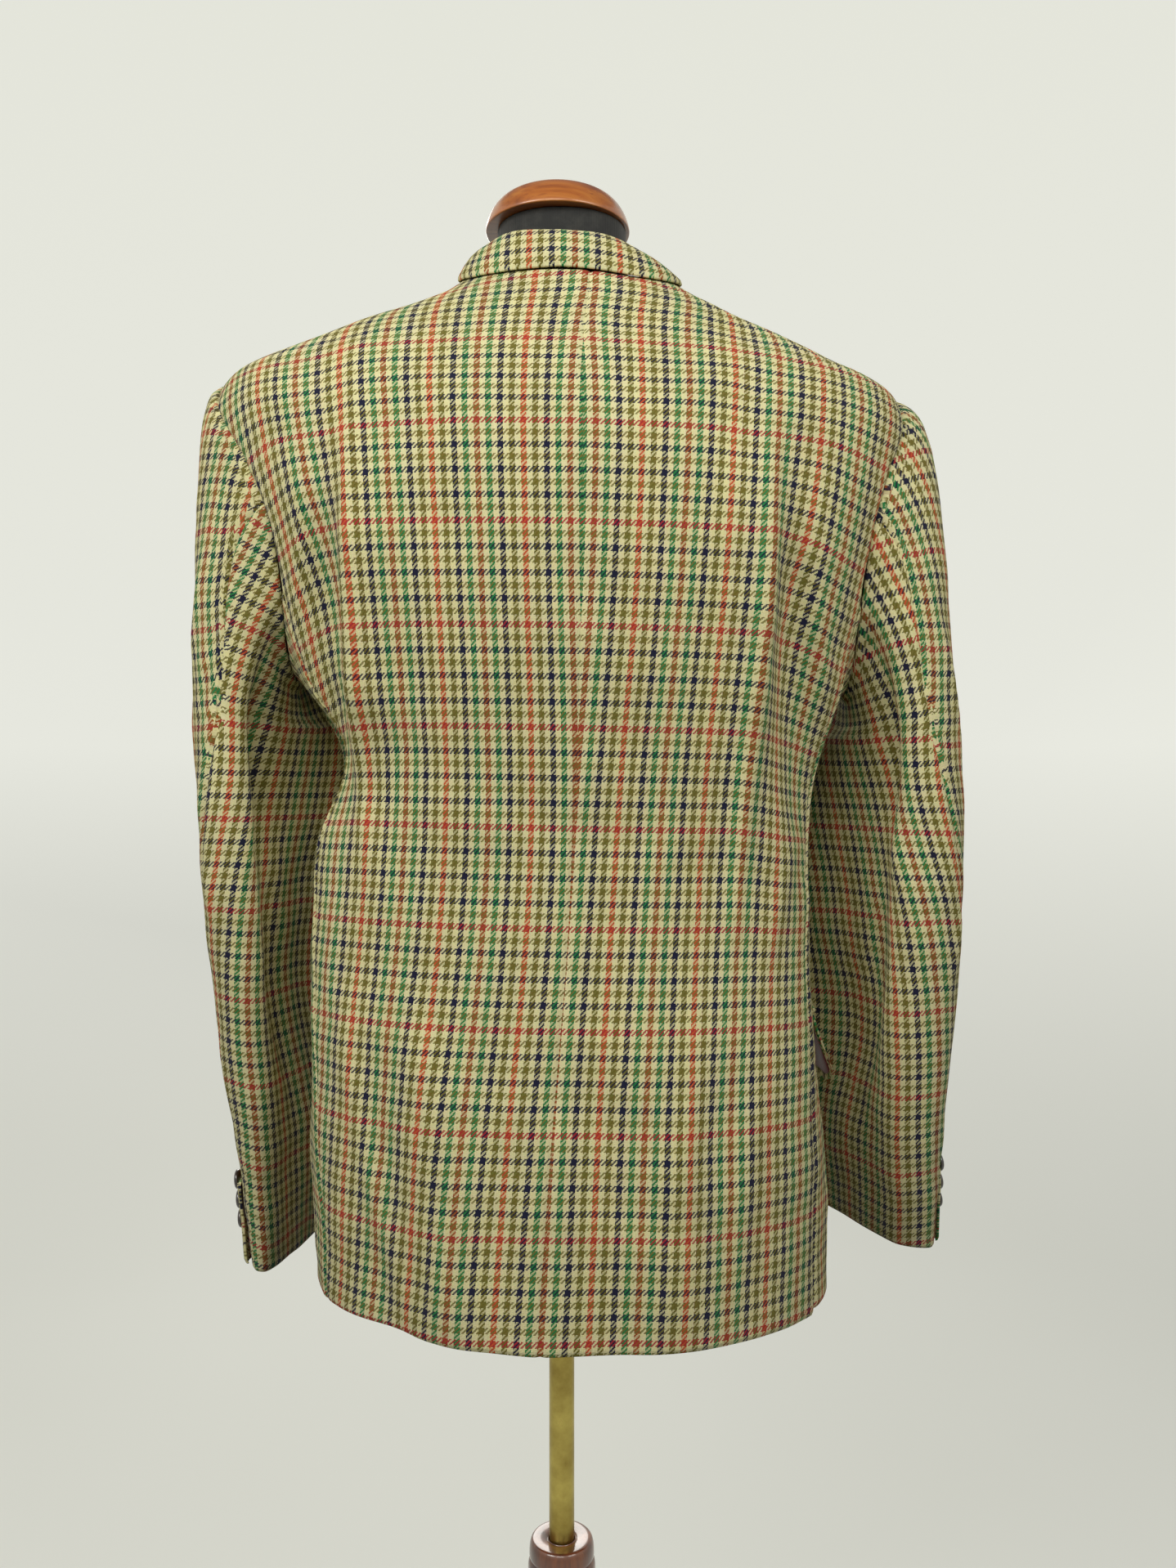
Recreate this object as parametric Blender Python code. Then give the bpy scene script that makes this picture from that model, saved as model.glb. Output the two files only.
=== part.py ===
"""A tweed hacking jacket worn by a limbless dress form on a tripod stand.

Metres, +Z up, floor at z = 0. The wearer faces -Y, so the wearer's left is +X. Everything is laid out
about the stand's pole and then moved together, so that the middle of the whole object's footprint is
at the origin. Each piece of cloth is a thin closed wall between an outer and an inner grid of points,
and all grids are read from two surfaces: the body of the jacket and its sleeves.
"""

from collections import namedtuple
from math import cos, pi, radians, sin

import bmesh
import bpy
import numpy as np
from mathutils import Matrix, Vector

# Cloth
WALL = 0.0020
SEAM_GAP = 0.0003
OVERLAY = 0.0008
LEFT, RIGHT = 1, -1
SIDES = {"left": LEFT, "right": RIGHT}

# Heights of the jacket above the floor, before it is tilted
HEM = 0.6125
FRONT_HEM = 0.6175
HEM_RISE = {LEFT: 0.0055, RIGHT: 0.0015}  # how much higher the back hem is at the side seams
SHOULDER_TIP = 1.270
NECK_POINT = 1.350
NAPE_DIP = 0.012
TILT = 0.020  # rise per metre towards the wearer's left
FRONT_DART_SEAM = 114.0
SIDE_BACK_SEAM, SIDE_SEAM_SETTLED = 65.0, 0.850  # its angle below this height
OVERLAP_LIFT = 0.0021  # how far each front moves out or in where the fronts lap

# The body, in level sections. Widths are from the middle, depths from the pole.
Section = namedtuple("Section", "height left right back front squareness")
BODY = (
    Section(0.600, 0.1785, 0.1950, 0.1250, 0.1280, 2.10),
    Section(0.660, 0.1795, 0.1935, 0.1245, 0.1290, 2.20),
    Section(0.720, 0.1835, 0.1940, 0.1220, 0.1305, 2.30),
    Section(0.790, 0.1865, 0.1910, 0.1160, 0.1310, 2.30),
    Section(0.860, 0.1875, 0.1880, 0.1080, 0.1290, 2.30),
    Section(0.930, 0.1850, 0.1880, 0.1045, 0.1270, 2.30),
    Section(1.000, 0.1690, 0.1960, 0.1110, 0.1300, 2.35),
    Section(1.050, 0.1940, 0.2080, 0.1180, 0.1340, 2.40),
    Section(1.100, 0.2050, 0.2180, 0.1235, 0.1350, 2.50),
    Section(1.150, 0.2215, 0.2310, 0.1260, 0.1310, 2.50),
    Section(1.200, 0.2400, 0.2440, 0.1225, 0.1180, 2.45),
    Section(1.250, 0.2515, 0.2495, 0.1090, 0.0960, 2.35),
    Section(1.270, 0.2425, 0.2395, 0.1000, 0.0850, 2.20),
    Section(1.289, 0.2070, 0.2030, 0.0890, 0.0730, 2.10),
    Section(1.309, 0.1560, 0.1600, 0.0780, 0.0580, 2.05),
    Section(1.331, 0.0960, 0.1110, 0.0665, 0.0390, 2.00),
    Section(1.350, 0.0660, 0.0760, 0.0570, 0.0240, 2.00),
)

# How far the centre back seam stands from the middle, towards the wearer's left
SeamPoint = namedtuple("SeamPoint", "height across")
CENTRE_BACK = (
    SeamPoint(0.600, 0.0120),
    SeamPoint(0.750, 0.0030),
    SeamPoint(0.900, -0.0080),
    SeamPoint(1.050, -0.0140),
    SeamPoint(1.350, -0.0170),
)

# The edge of each front from the hem to the break, then the roll line up to the neck. The distance is
# from the middle towards the front's own side, so it is below zero where the fronts lap.
EdgePoint = namedtuple("EdgePoint", "height across")
FRONT_EDGE = (
    EdgePoint(0.6175, 0.0740),
    EdgePoint(0.6230, 0.0530),
    EdgePoint(0.6340, 0.0350),
    EdgePoint(0.6550, 0.0180),
    EdgePoint(0.6950, 0.0020),
    EdgePoint(0.7600, -0.0110),
    EdgePoint(0.8500, -0.0185),
    EdgePoint(1.0000, -0.0200),
    EdgePoint(1.0900, -0.0200),
    EdgePoint(1.1250, -0.0040),
    EdgePoint(1.2050, 0.0280),
    EdgePoint(1.2900, 0.0600),
    EdgePoint(1.3300, 0.0735),
    EdgePoint(1.3500, 0.0775),
)

# Lapel: places up the roll line, and the outer edge that is level with the same place on the lapel
LapelRow = namedtuple("LapelRow", "share roll_height edge_across edge_height")
LAPEL = (
    LapelRow(0.00, 1.090, -0.0170, 1.0930),
    LapelRow(0.20, 1.125, 0.0300, 1.1120),
    LapelRow(0.40, 1.163, 0.0660, 1.1400),
    LapelRow(0.60, 1.205, 0.0920, 1.1780),
    LapelRow(0.80, 1.248, 0.1130, 1.2240),
    LapelRow(1.00, 1.290, 0.1240, 1.2700),
)
LAPEL_ROLL = 0.0030  # how far the middle of the lapel bows out
RIGHT_LAPEL_FROM = 0.16  # the lower end of the right lapel is under the left front

# Collar, half of it, from the centre back to the gorge
CollarRow = namedtuple(
    "CollarRow", "share seam_angle seam_height fold_x fold_y fold_z edge_angle edge_height"
)
COLLAR = (
    CollarRow(0.00, 0.0, 1.3380, 0.0000, 0.0520, 1.3670, 0.0, 1.3365),
    CollarRow(0.20, 22.0, 1.3390, 0.0290, 0.0470, 1.3675, 20.0, 1.3350),
    CollarRow(0.40, 48.0, 1.3430, 0.0500, 0.0290, 1.3675, 42.0, 1.3350),
    CollarRow(0.55, 70.0, 1.3470, 0.0585, 0.0100, 1.3665, 65.0, 1.3400),
    CollarRow(0.68, 90.0, 1.3500, 0.0610, -0.0080, 1.3620, 90.0, 1.3455),
    CollarRow(0.80, 112.0, 1.3440, 0.0635, -0.0260, 1.3480, 116.0, 1.3370),
    CollarRow(0.90, 136.0, 1.3200, 0.0650, -0.0450, 1.3240, 136.0, 1.3170),
    CollarRow(1.00, 161.0, 1.2920, 0.0600, -0.0715, 1.2920, 156.0, 1.2795),
)
COLLAR_OVERLAY = 0.0012
COLLAR_SEAM_INSET = 0.0020
NOTCH = 0.045  # share of the collar that is cut away at its outer front corner
NOTCH_FROM = 0.5  # how far from the fold the notch starts
COLLAR_ARCH = 0.0045
COLLAR_LIES = 0.80  # the share from which the fall comes to lie on the front
COLLAR_WALL = 0.0024

# Armhole, half of it, from the shoulder tip down to the underarm. The turn runs round the sleeve: 90 is
# its top and -90 its underside. The swing is how far the edge is from the side line of the body.
ArmholePoint = namedtuple("ArmholePoint", "turn swing height")
ARMHOLE = (
    ArmholePoint(90.0, 0.0, 1.270),
    ArmholePoint(65.0, 14.0, 1.250),
    ArmholePoint(45.0, 21.5, 1.229),
    ArmholePoint(25.0, 28.0, 1.198),
    ArmholePoint(8.0, 30.0, 1.168),
    ArmholePoint(-10.0, 28.5, 1.143),
    ArmholePoint(-33.0, 24.0, 1.112),
    ArmholePoint(-52.0, 16.5, 1.084),
    ArmholePoint(-71.0, 7.5, 1.061),
    ArmholePoint(-90.0, 0.0, 1.052),
)
BACK_SWING = {LEFT: 1.0, RIGHT: 0.80}
# Turns at which every piece that meets the armhole has a corner
BACK_TURNS = (-33.0, -20.0, -7.0, 8.0, 22.0, 38.0, 55.0, 72.0, 90.0)
UNDER_TURNS = (-33.0, -52.0, -71.0, -90.0, -109.0, -128.0, -147.0)
FRONT_TURNS = (213.0, 196.0, 180.0, 165.0, 150.0, 135.0, 120.0, 105.0, 90.0)

# Sleeves, in level sections below the sleeve head, for each side
SleeveRow = namedtuple("SleeveRow", "height outer inner back front skew clear")
SLEEVE = {
    LEFT: (
        SleeveRow(1.020, 0.2622, 0.1860, 0.0540, -0.0820, 0.16, 0.0035),
        SleeveRow(0.950, 0.2610, 0.1840, 0.0510, -0.0840, 0.16, 0.0035),
        SleeveRow(0.880, 0.2580, 0.1835, 0.0430, -0.0910, 0.16, 0.0042),
        SleeveRow(0.800, 0.2540, 0.1850, 0.0270, -0.1040, 0.15, 0.0090),
        SleeveRow(0.720, 0.2470, 0.1900, 0.0080, -0.1170, 0.13, 0.0065),
        SleeveRow(0.660, 0.2430, 0.1990, -0.0070, -0.1260, 0.11, 0.0035),
        SleeveRow(0.604, 0.2390, 0.2060, -0.0200, -0.1330, 0.10, 0.0035),
    ),
    RIGHT: (
        SleeveRow(1.020, 0.2838, 0.2020, 0.0560, -0.0840, 0.18, 0.0035),
        SleeveRow(0.950, 0.2865, 0.2010, 0.0530, -0.0850, 0.20, 0.0035),
        SleeveRow(0.880, 0.2868, 0.2000, 0.0460, -0.0890, 0.24, 0.0035),
        SleeveRow(0.800, 0.2815, 0.2000, 0.0310, -0.0990, 0.30, 0.0035),
        SleeveRow(0.720, 0.2760, 0.2080, 0.0070, -0.1130, 0.37, 0.0035),
        SleeveRow(0.660, 0.2760, 0.2220, -0.0160, -0.1270, 0.42, 0.0035),
        SleeveRow(0.628, 0.2765, 0.2280, -0.0300, -0.1350, 0.45, 0.0035),
    ),
}
HEAD_CLEAR = 0.0050  # how far the underarm of a sleeve keeps from the body beside it
SLEEVE_SQUARENESS = 2.4
HEAD_LIFT = {LEFT: 0.014, RIGHT: 0.006}
UNDERARM_EASE = 0.010  # how far the underarm of a sleeve leaves the body before it hangs
HEAD_PULL = 1.2  # how closely the sleeve head follows its corner
HEAD_REACH = {LEFT: 1.06, RIGHT: 0.68}  # how far out that corner is at the top of the sleeve
HEAD_ROWS = 7
TUBE_ROWS = 9

# Where the two sleeve seams run, as turns round the sleeve
SeamTurn = namedtuple("SeamTurn", "height hind fore")
SLEEVE_SEAMS = (
    SeamTurn(0.600, 70.0, -122.0),
    SeamTurn(0.700, 68.0, -124.0),
    SeamTurn(0.800, 62.0, -128.0),
    SeamTurn(0.880, 50.0, -132.0),
    SeamTurn(0.950, 28.0, -136.0),
    SeamTurn(1.020, 3.0, -140.0),
)
HIND_TURN, FORE_TURN = 8.0, -147.0  # where the same seams leave the armhole

# Cuff vent: the top sleeve's hind edge laps over the under sleeve
VENT_HEIGHT = 0.068
VENT_RAMP = 0.014
VENT_LAP = 9.0  # degrees of turn
VENT_LIFT = 0.0036
VENT_FLARE = 0.0030  # how much more it stands off at the cuff

# Drapes and waves of the body: ridges where rise is above zero and troughs where it is below
Fold = namedtuple("Fold", "top foot top_across foot_across reach rise")
BACK_FOLDS = (
    Fold(1.225, 0.940, 0.118, 0.134, 0.026, 0.0080),
    Fold(1.180, 0.920, 0.162, 0.164, 0.028, -0.0070),
    Fold(0.860, 0.560, 0.100, 0.062, 0.028, 0.0060),
    Fold(0.820, 0.560, 0.142, 0.105, 0.026, -0.0040),
    Fold(1.235, 0.820, -0.118, -0.150, 0.028, 0.0085),
    Fold(1.180, 0.900, -0.166, -0.176, 0.026, -0.0060),
    Fold(0.880, 0.550, -0.060, -0.092, 0.032, 0.0045),
    Fold(0.840, 0.550, -0.014, -0.030, 0.028, -0.0030),
)
FRONT_FOLDS = (
    Fold(1.190, 0.950, 0.120, 0.130, 0.028, 0.0055),
    Fold(0.900, 0.560, 0.085, 0.110, 0.030, 0.0045),
    Fold(1.200, 0.930, -0.124, -0.132, 0.028, 0.0060),
    Fold(0.860, 0.560, -0.075, -0.100, 0.032, 0.0050),
)

# Pocket flaps, slanted down towards the back
FLAP_REAR, FLAP_FRONT = 97.0, 147.0  # degrees round from the centre back
FLAP_REAR_TOP, FLAP_FRONT_TOP = 0.812, 0.850
FLAP_DEPTH = 0.058
FLAP_STAND = {LEFT: 0.0030, RIGHT: 0.0090}

# Buttons
FRONT_BUTTON_RADIUS, CUFF_BUTTON_RADIUS = 0.0105, 0.0075
FRONT_BUTTON_HEIGHTS = (0.880, 0.980, 1.075)
CUFF_BUTTONS = 3
CUFF_BUTTON_PITCH = 0.0160
CUFF_BUTTON_FROM = 0.0340  # the lowest one above the cuff's edge
CUFF_BUTTON_TURN = 86.0
BUTTON_SIDES = 12

# Dress form
FormRow = namedtuple("FormRow", "height width back front")
FORM = (
    FormRow(0.6900, 0.110, 0.066, 0.070),
    FormRow(0.6930, 0.138, 0.088, 0.092),
    FormRow(0.7060, 0.152, 0.099, 0.102),
    FormRow(0.7700, 0.160, 0.103, 0.110),
    FormRow(0.8500, 0.154, 0.094, 0.106),
    FormRow(0.9300, 0.142, 0.086, 0.101),
    FormRow(1.0000, 0.142, 0.090, 0.106),
    FormRow(1.0800, 0.164, 0.101, 0.113),
    FormRow(1.1500, 0.180, 0.105, 0.110),
    FormRow(1.2100, 0.197, 0.101, 0.096),
    FormRow(1.2450, 0.206, 0.094, 0.082),
    FormRow(1.2640, 0.205, 0.086, 0.070),
    FormRow(1.2790, 0.190, 0.080, 0.062),
    FormRow(1.2930, 0.168, 0.073, 0.057),
    FormRow(1.3060, 0.138, 0.066, 0.051),
    FormRow(1.3190, 0.104, 0.059, 0.047),
    FormRow(1.3300, 0.077, 0.053, 0.046),
    FormRow(1.3420, 0.058, 0.049, 0.048),
    FormRow(1.3560, 0.0490, 0.0460, 0.0465),
    FormRow(1.3837, 0.0475, 0.0455, 0.0460),
)
FORM_SQUARENESS = 2.15
FORM_SIDES = 32

# Turned parts of the stand
CAP_FOOT, CAP_TOP, CAP_RADIUS = 1.3840, 1.4120, 0.0533
CAP_AT = (0.0030, 0.0)
POLE_RADIUS = 0.0093
HUB_TOP, HUB_FOOT, HUB_RADIUS, HUB_SWELL = 0.4205, 0.3050, 0.0237, 0.0013
POLE_TOP = FORM[0].height - SEAM_GAP
TURNED_SIDES = 28

# Legs
LEG_DIRECTIONS = (-90.0, 30.0, 150.0)
LegRow = namedtuple("LegRow", "out height width depth")
LEG = (
    LegRow(0.0253, 0.3700, 0.0150, 0.0300),
    LegRow(0.0480, 0.3490, 0.0155, 0.0280),
    LegRow(0.0820, 0.2950, 0.0160, 0.0250),
    LegRow(0.1250, 0.2000, 0.0160, 0.0220),
    LegRow(0.1700, 0.1050, 0.0165, 0.0210),
    LegRow(0.2150, 0.0400, 0.0180, 0.0220),
    LegRow(0.2500, 0.0110, 0.0210, 0.0240),
    LegRow(0.2850, 0.0090, 0.0240, 0.0200),
)

# Moves the layout's middle to the origin
FOOTPRINT_MIDDLE = Vector((-0.01425, -0.06611, 0.0))

# Colours (linear), roughness, metallic
CLOTH = ("tweed", (0.36, 0.30, 0.12), 0.9, 0.0)
HORN = ("button_horn", (0.02, 0.014, 0.010), 0.35, 0.0)
BLACK_CLOTH = ("form_jersey", (0.010, 0.011, 0.012), 0.85, 0.0)
CAP_WOOD = ("cap_beech", (0.32, 0.115, 0.030), 0.25, 0.0)
BRASS = ("pole_brass", (0.30, 0.22, 0.07), 0.30, 1.0)
DARK_WOOD = ("stand_beech", (0.10, 0.035, 0.014), 0.30, 0.0)


# ---------------------------------------------------------------- reading the tables


def through(rows, column, at):
    """A smooth curve through one column of a table whose first column is its place."""
    places = np.array([row[0] for row in rows])
    values = np.array([getattr(row, column) for row in rows])
    if places[0] > places[-1]:
        places, values = places[::-1], values[::-1]
    slopes = np.gradient(values, places)
    at = np.clip(np.asarray(at, float), places[0], places[-1])
    index = np.clip(np.searchsorted(places, at, side="right") - 1, 0, len(places) - 2)
    span = places[index + 1] - places[index]
    share = (at - places[index]) / span
    return (
        values[index] * (1 + 2 * share) * (1 - share) ** 2
        + slopes[index] * span * share * (1 - share) ** 2
        + values[index + 1] * share**2 * (3 - 2 * share)
        + slopes[index + 1] * span * share**2 * (share - 1)
    )


def powered(value, power):
    return np.sign(value) * np.abs(value) ** power


def smooth_step(value):
    value = np.clip(value, 0.0, 1.0)
    return value * value * (3 - 2 * value)


# ---------------------------------------------------------------- body of the jacket


def body_widths(angle, height):
    """Half width and depth of the section on the side that the angle is on."""
    width = np.where(
        np.sin(np.radians(angle)) >= 0,
        through(BODY, "left", height),
        through(BODY, "right", height),
    )
    depth = np.where(
        np.cos(np.radians(angle)) >= 0,
        through(BODY, "back", height),
        through(BODY, "front", height),
    )
    return width, depth


def fold_rise(x, y, height):
    """How far the drapes push the cloth out at a place."""
    rise = np.zeros_like(x)
    for folds, on_side in ((BACK_FOLDS, y > 0), (FRONT_FOLDS, y < 0)):
        for fold in folds:
            share = (fold.top - height) / (fold.top - fold.foot)
            across = fold.top_across + (fold.foot_across - fold.top_across) * share
            fade = smooth_step(share * 3) * smooth_step((1 - share) * 3)
            rise += np.where(on_side, fold.rise * fade * np.exp(-(((x - across) / fold.reach) ** 2)), 0)
    return rise


def body_skin(angle, height):
    """Points of the jacket's outer surface, for angles in degrees from the centre back."""
    angle = np.asarray(angle, float)
    height = np.asarray(height, float)
    width, depth = body_widths(angle, height)
    power = 2 / through(BODY, "squareness", height)
    across, along = np.sin(np.radians(angle)), np.cos(np.radians(angle))
    x = width * powered(across, power)
    y = depth * powered(along, power)
    out_x = powered(x / width, 2 / power - 1) / width
    out_y = powered(y / depth, 2 / power - 1) / depth
    rise = fold_rise(x, y, height) / np.hypot(out_x, out_y)
    x = x + out_x * rise
    y = y + out_y * rise
    return np.stack([x, y, height + TILT * x], axis=-1)


def body(angle, height, out=0.0):
    """Body points moved out from the surface along its normal."""
    turn, rise = 0.2, 0.001
    angle, height = np.broadcast_arrays(np.asarray(angle, float), np.asarray(height, float))
    round_body = body_skin(angle + turn, height) - body_skin(angle - turn, height)
    up_body = body_skin(angle, height + rise) - body_skin(angle, height - rise)
    normal = np.cross(up_body, round_body)
    normal /= np.linalg.norm(normal, axis=-1, keepdims=True)
    return body_skin(angle, height) + normal * np.asarray(out)[..., None]


def angle_across(side, across, height, front):
    """The angle at which a section is this far from the middle, towards the given side."""
    across = np.asarray(across, float)
    height = np.asarray(height, float)
    towards_left = side * across >= 0
    width = np.where(towards_left, through(BODY, "left", height), through(BODY, "right", height))
    power = through(BODY, "squareness", height) / 2
    angle = np.degrees(np.arcsin(np.clip(powered(across / width, power), -1, 1)))
    return side * (180 - angle if front else angle)


def gap_angle(angle, height, gap):
    """The change of angle that moves a point this far round the body."""
    step = np.linalg.norm(body_skin(angle + 0.1, height) - body_skin(angle - 0.1, height), axis=-1)
    return gap / (step / 0.2)


def side_back_seam(side, height):
    """The angle of the seam between the back and the side panel, which runs up to the armhole."""
    angle, top = armhole(side, BACK_TURNS[0])
    fallen = smooth_step((top - height) / (top - SIDE_SEAM_SETTLED))
    return side * (abs(angle) + (SIDE_BACK_SEAM - abs(angle)) * fallen)


def armhole(side, turn):
    """Angle and height of the armhole's edge on the body, for a turn round the sleeve."""
    turn = (np.asarray(turn, float) + 90) % 360 - 90
    in_front = turn > 90
    folded = np.where(in_front, 180 - turn, turn)
    swing = through(ARMHOLE, "swing", folded)
    swing = np.where(in_front, swing, -swing * BACK_SWING[side])
    swing = np.where(np.abs(np.abs(folded) - 90) < 1e-6, 0, swing)
    return side * (90 + swing), through(ARMHOLE, "height", folded)


# ---------------------------------------------------------------- solids from grids


def wall(name, outer, inner, finish, closed_round=False):
    """A closed wall between two grids of points. The second index may run right round."""
    rows, columns = outer.shape[:2]
    mesh = bmesh.new()
    layers = [[[mesh.verts.new(point) for point in row] for row in grid] for grid in (outer, inner)]
    outside, inside = layers
    last = columns if closed_round else columns - 1
    for i in range(rows - 1):
        for j in range(last):
            k = (j + 1) % columns
            mesh.faces.new((outside[i][j], outside[i][k], outside[i + 1][k], outside[i + 1][j]))
            mesh.faces.new((inside[i + 1][j], inside[i + 1][k], inside[i][k], inside[i][j]))
    for j in range(last):
        k = (j + 1) % columns
        mesh.faces.new((outside[0][k], outside[0][j], inside[0][j], inside[0][k]))
        mesh.faces.new((outside[-1][j], outside[-1][k], inside[-1][k], inside[-1][j]))
    if not closed_round:
        for i in range(rows - 1):
            mesh.faces.new((outside[i][0], outside[i + 1][0], inside[i + 1][0], inside[i][0]))
            mesh.faces.new((outside[i + 1][-1], outside[i][-1], inside[i][-1], inside[i + 1][-1]))
    return finished(name, mesh, finish)


def lathe(name, rings, finish):
    """A solid through closed rings of points, with a flat face at each end."""
    mesh = bmesh.new()
    loops = [[mesh.verts.new(point) for point in ring] for ring in rings]
    for low, high in zip(loops, loops[1:]):
        for j in range(len(low)):
            k = (j + 1) % len(low)
            mesh.faces.new((low[j], low[k], high[k], high[j]))
    mesh.faces.new(loops[0][::-1])
    mesh.faces.new(loops[-1])
    return finished(name, mesh, finish)


def finished(name, mesh, finish):
    """Turns a bmesh into a named object, faces out and shaded smooth."""
    if mesh.calc_volume(signed=True) < 0:
        bmesh.ops.reverse_faces(mesh, faces=mesh.faces)
    data = bpy.data.meshes.new(name)
    mesh.to_mesh(data)
    mesh.free()
    data.shade_smooth()
    data.set_sharp_from_angle(angle=radians(40))
    data.materials.append(material(*finish))
    made = bpy.data.objects.new(name, data)
    bpy.context.scene.collection.objects.link(made)
    return made


def material(name, colour, roughness, metallic):
    """The named material, made the first time that it is asked for."""
    found = bpy.data.materials.get(name)
    if found:
        return found
    made = bpy.data.materials.new(name)
    made.use_nodes = True
    shader = made.node_tree.nodes["Principled BSDF"]
    shader.inputs["Base Color"].default_value = (*colour, 1.0)
    shader.inputs["Roughness"].default_value = roughness
    shader.inputs["Metallic"].default_value = metallic
    return made


def cloth_on_body(name, angles, heights, out=0.0, thickness=WALL):
    """A wall of cloth whose outer grid is on the body, moved out by a little."""
    outer = body(angles, heights, out)
    inner = body(angles, heights, np.asarray(out) - thickness)
    return wall(name, outer, inner, CLOTH)


# ---------------------------------------------------------------- body panels


def lower_heights():
    """Shares of the way from the hem to the top of the side seams."""
    return np.array([0, 0.012, 0.035, 0.08, 0.15, 0.24, 0.34, 0.44, 0.54, 0.63, 0.71, 0.785, 0.86, 0.93, 1.0])


def back_panel(side):
    """Half of the back, from the centre back seam to the side seam, the armhole and the shoulder."""
    columns = np.array([0, 0.1, 0.2, 0.3, 0.4, 0.5, 0.59, 0.67, 0.75, 0.83, 0.91, 1.0])
    side_top = armhole(side, BACK_TURNS[0])[1]
    lower = HEM + (side_top - HEM) * lower_heights()[:-1]
    edge_angles, edge_heights = armhole(side, np.array(BACK_TURNS))
    upper = np.linspace(SHOULDER_TIP, NECK_POINT, 6)[1:]
    heights = np.concatenate([lower, edge_heights, upper])
    outer_angle = np.concatenate(
        [side_back_seam(side, lower), edge_angles, np.full(len(upper), side * 90.0)]
    )
    centre = angle_across(LEFT, through(CENTRE_BACK, "across", heights), heights, front=False)
    centre = centre + side * gap_angle(centre, heights, SEAM_GAP / 2)
    seam = np.ones(len(heights))
    seam[len(lower) : -len(upper) - 1] = 0  # the sleeve keeps the gap along the armhole
    outer_angle = outer_angle - side * seam * gap_angle(outer_angle, heights, SEAM_GAP / 2)
    angles = centre[:, None] + (outer_angle - centre)[:, None] * columns
    dip = NAPE_DIP * smooth_step((heights - SHOULDER_TIP) / (NECK_POINT - SHOULDER_TIP))
    rise = HEM_RISE[side] * np.clip((side_top - heights) / (side_top - HEM), 0, 1) ** 3
    heights = heights[:, None] - dip[:, None] * (1 - columns**2) + rise[:, None] * smooth_step(columns * 1.6)
    return cloth_on_body(f"back_{name_of(side)}", angles, heights)


def side_panel(side):
    """The underarm panel, between the back and the front."""
    edge_angles, edge_heights = armhole(side, np.array(UNDER_TURNS))
    share = lower_heights()[:, None]
    drop = (FRONT_HEM - HEM) * (1 - share) ** 3
    heights = HEM + (edge_heights - HEM) * share + drop
    foot_angles = np.linspace(SIDE_BACK_SEAM, FRONT_DART_SEAM, len(UNDER_TURNS)) * side
    angles = foot_angles + (edge_angles - foot_angles) * smooth_step(share * 1.2 - 0.2)
    angles[:, 0] = side_back_seam(side, heights[:, 0])
    angles[:, -1] = side * FRONT_DART_SEAM
    gap = gap_angle(angles, heights, SEAM_GAP / 2)
    angles[:, 0] += side * gap[:, 0]
    angles[:, -1] -= side * gap[:, -1]
    return cloth_on_body(f"side_{name_of(side)}", angles, heights)


def lap(side, angle, height):
    """How far a front moves out, the left one, or in, the right one, near the middle."""
    near = smooth_step((abs_from_front(angle) - 28.0) / -16.0)
    return side * OVERLAP_LIFT * near * smooth_step((1.20 - height) / 0.08)


def abs_from_front(angle):
    return np.abs(180 - np.abs(angle))


def front_panel(side):
    """A front, from its seam with the side panel to its edge and roll line."""
    columns = np.array([0, 0.1, 0.2, 0.3, 0.4, 0.5, 0.6, 0.7, 0.79, 0.87, 0.94, 1.0])
    side_top = armhole(side, FRONT_TURNS[0])[1]
    share = lower_heights()[:-1]
    lower = HEM + (side_top - HEM) * share + (FRONT_HEM - HEM) * (1 - share) ** 3
    edge_angles, edge_heights = armhole(side, np.array(FRONT_TURNS))
    upper = np.linspace(SHOULDER_TIP, NECK_POINT, 6)[1:]
    heights = np.concatenate([lower, edge_heights, upper])
    outer_angle = np.concatenate(
        [np.full(len(lower), side * FRONT_DART_SEAM), edge_angles, np.full(len(upper), side * 90.0)]
    )
    seam = np.ones(len(heights))
    seam[len(lower) : -len(upper) - 1] = 0
    outer_angle = outer_angle + side * seam * gap_angle(outer_angle, heights, SEAM_GAP / 2)
    edge = angle_across(side, through(FRONT_EDGE, "across", heights), heights, front=True)
    angles = outer_angle[:, None] + (edge - outer_angle)[:, None] * columns
    heights = np.repeat(heights[:, None], len(columns), axis=1)
    return cloth_on_body(f"front_{name_of(side)}", angles, heights, lap(side, angles, heights))


def lapel(side):
    """A lapel, lying on its front from the roll line to its outer edge, up to the gorge."""
    share = np.linspace(0.02 if side == LEFT else RIGHT_LAPEL_FROM, 1, 11)
    roll_height = through(LAPEL, "roll_height", share)
    edge_height = through(LAPEL, "edge_height", share)
    roll = through(FRONT_EDGE, "across", roll_height)
    edge = through(LAPEL, "edge_across", share)
    if side == RIGHT:
        roll = np.maximum(roll, 0.0025 - roll)
        roll = np.minimum(roll, edge - 0.002)
    columns = np.linspace(0, 1, 6)
    across = roll[:, None] + (edge - roll)[:, None] * columns
    heights = roll_height[:, None] + (edge_height - roll_height)[:, None] * columns
    angles = angle_across(side, across, heights, front=True)
    bow = LAPEL_ROLL * np.sin(pi * columns) * smooth_step(share * 2)[:, None]
    out = lap(side, angles, heights) + OVERLAY + WALL + bow
    return cloth_on_body(f"lapel_{name_of(side)}", angles, heights, out)


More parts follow.
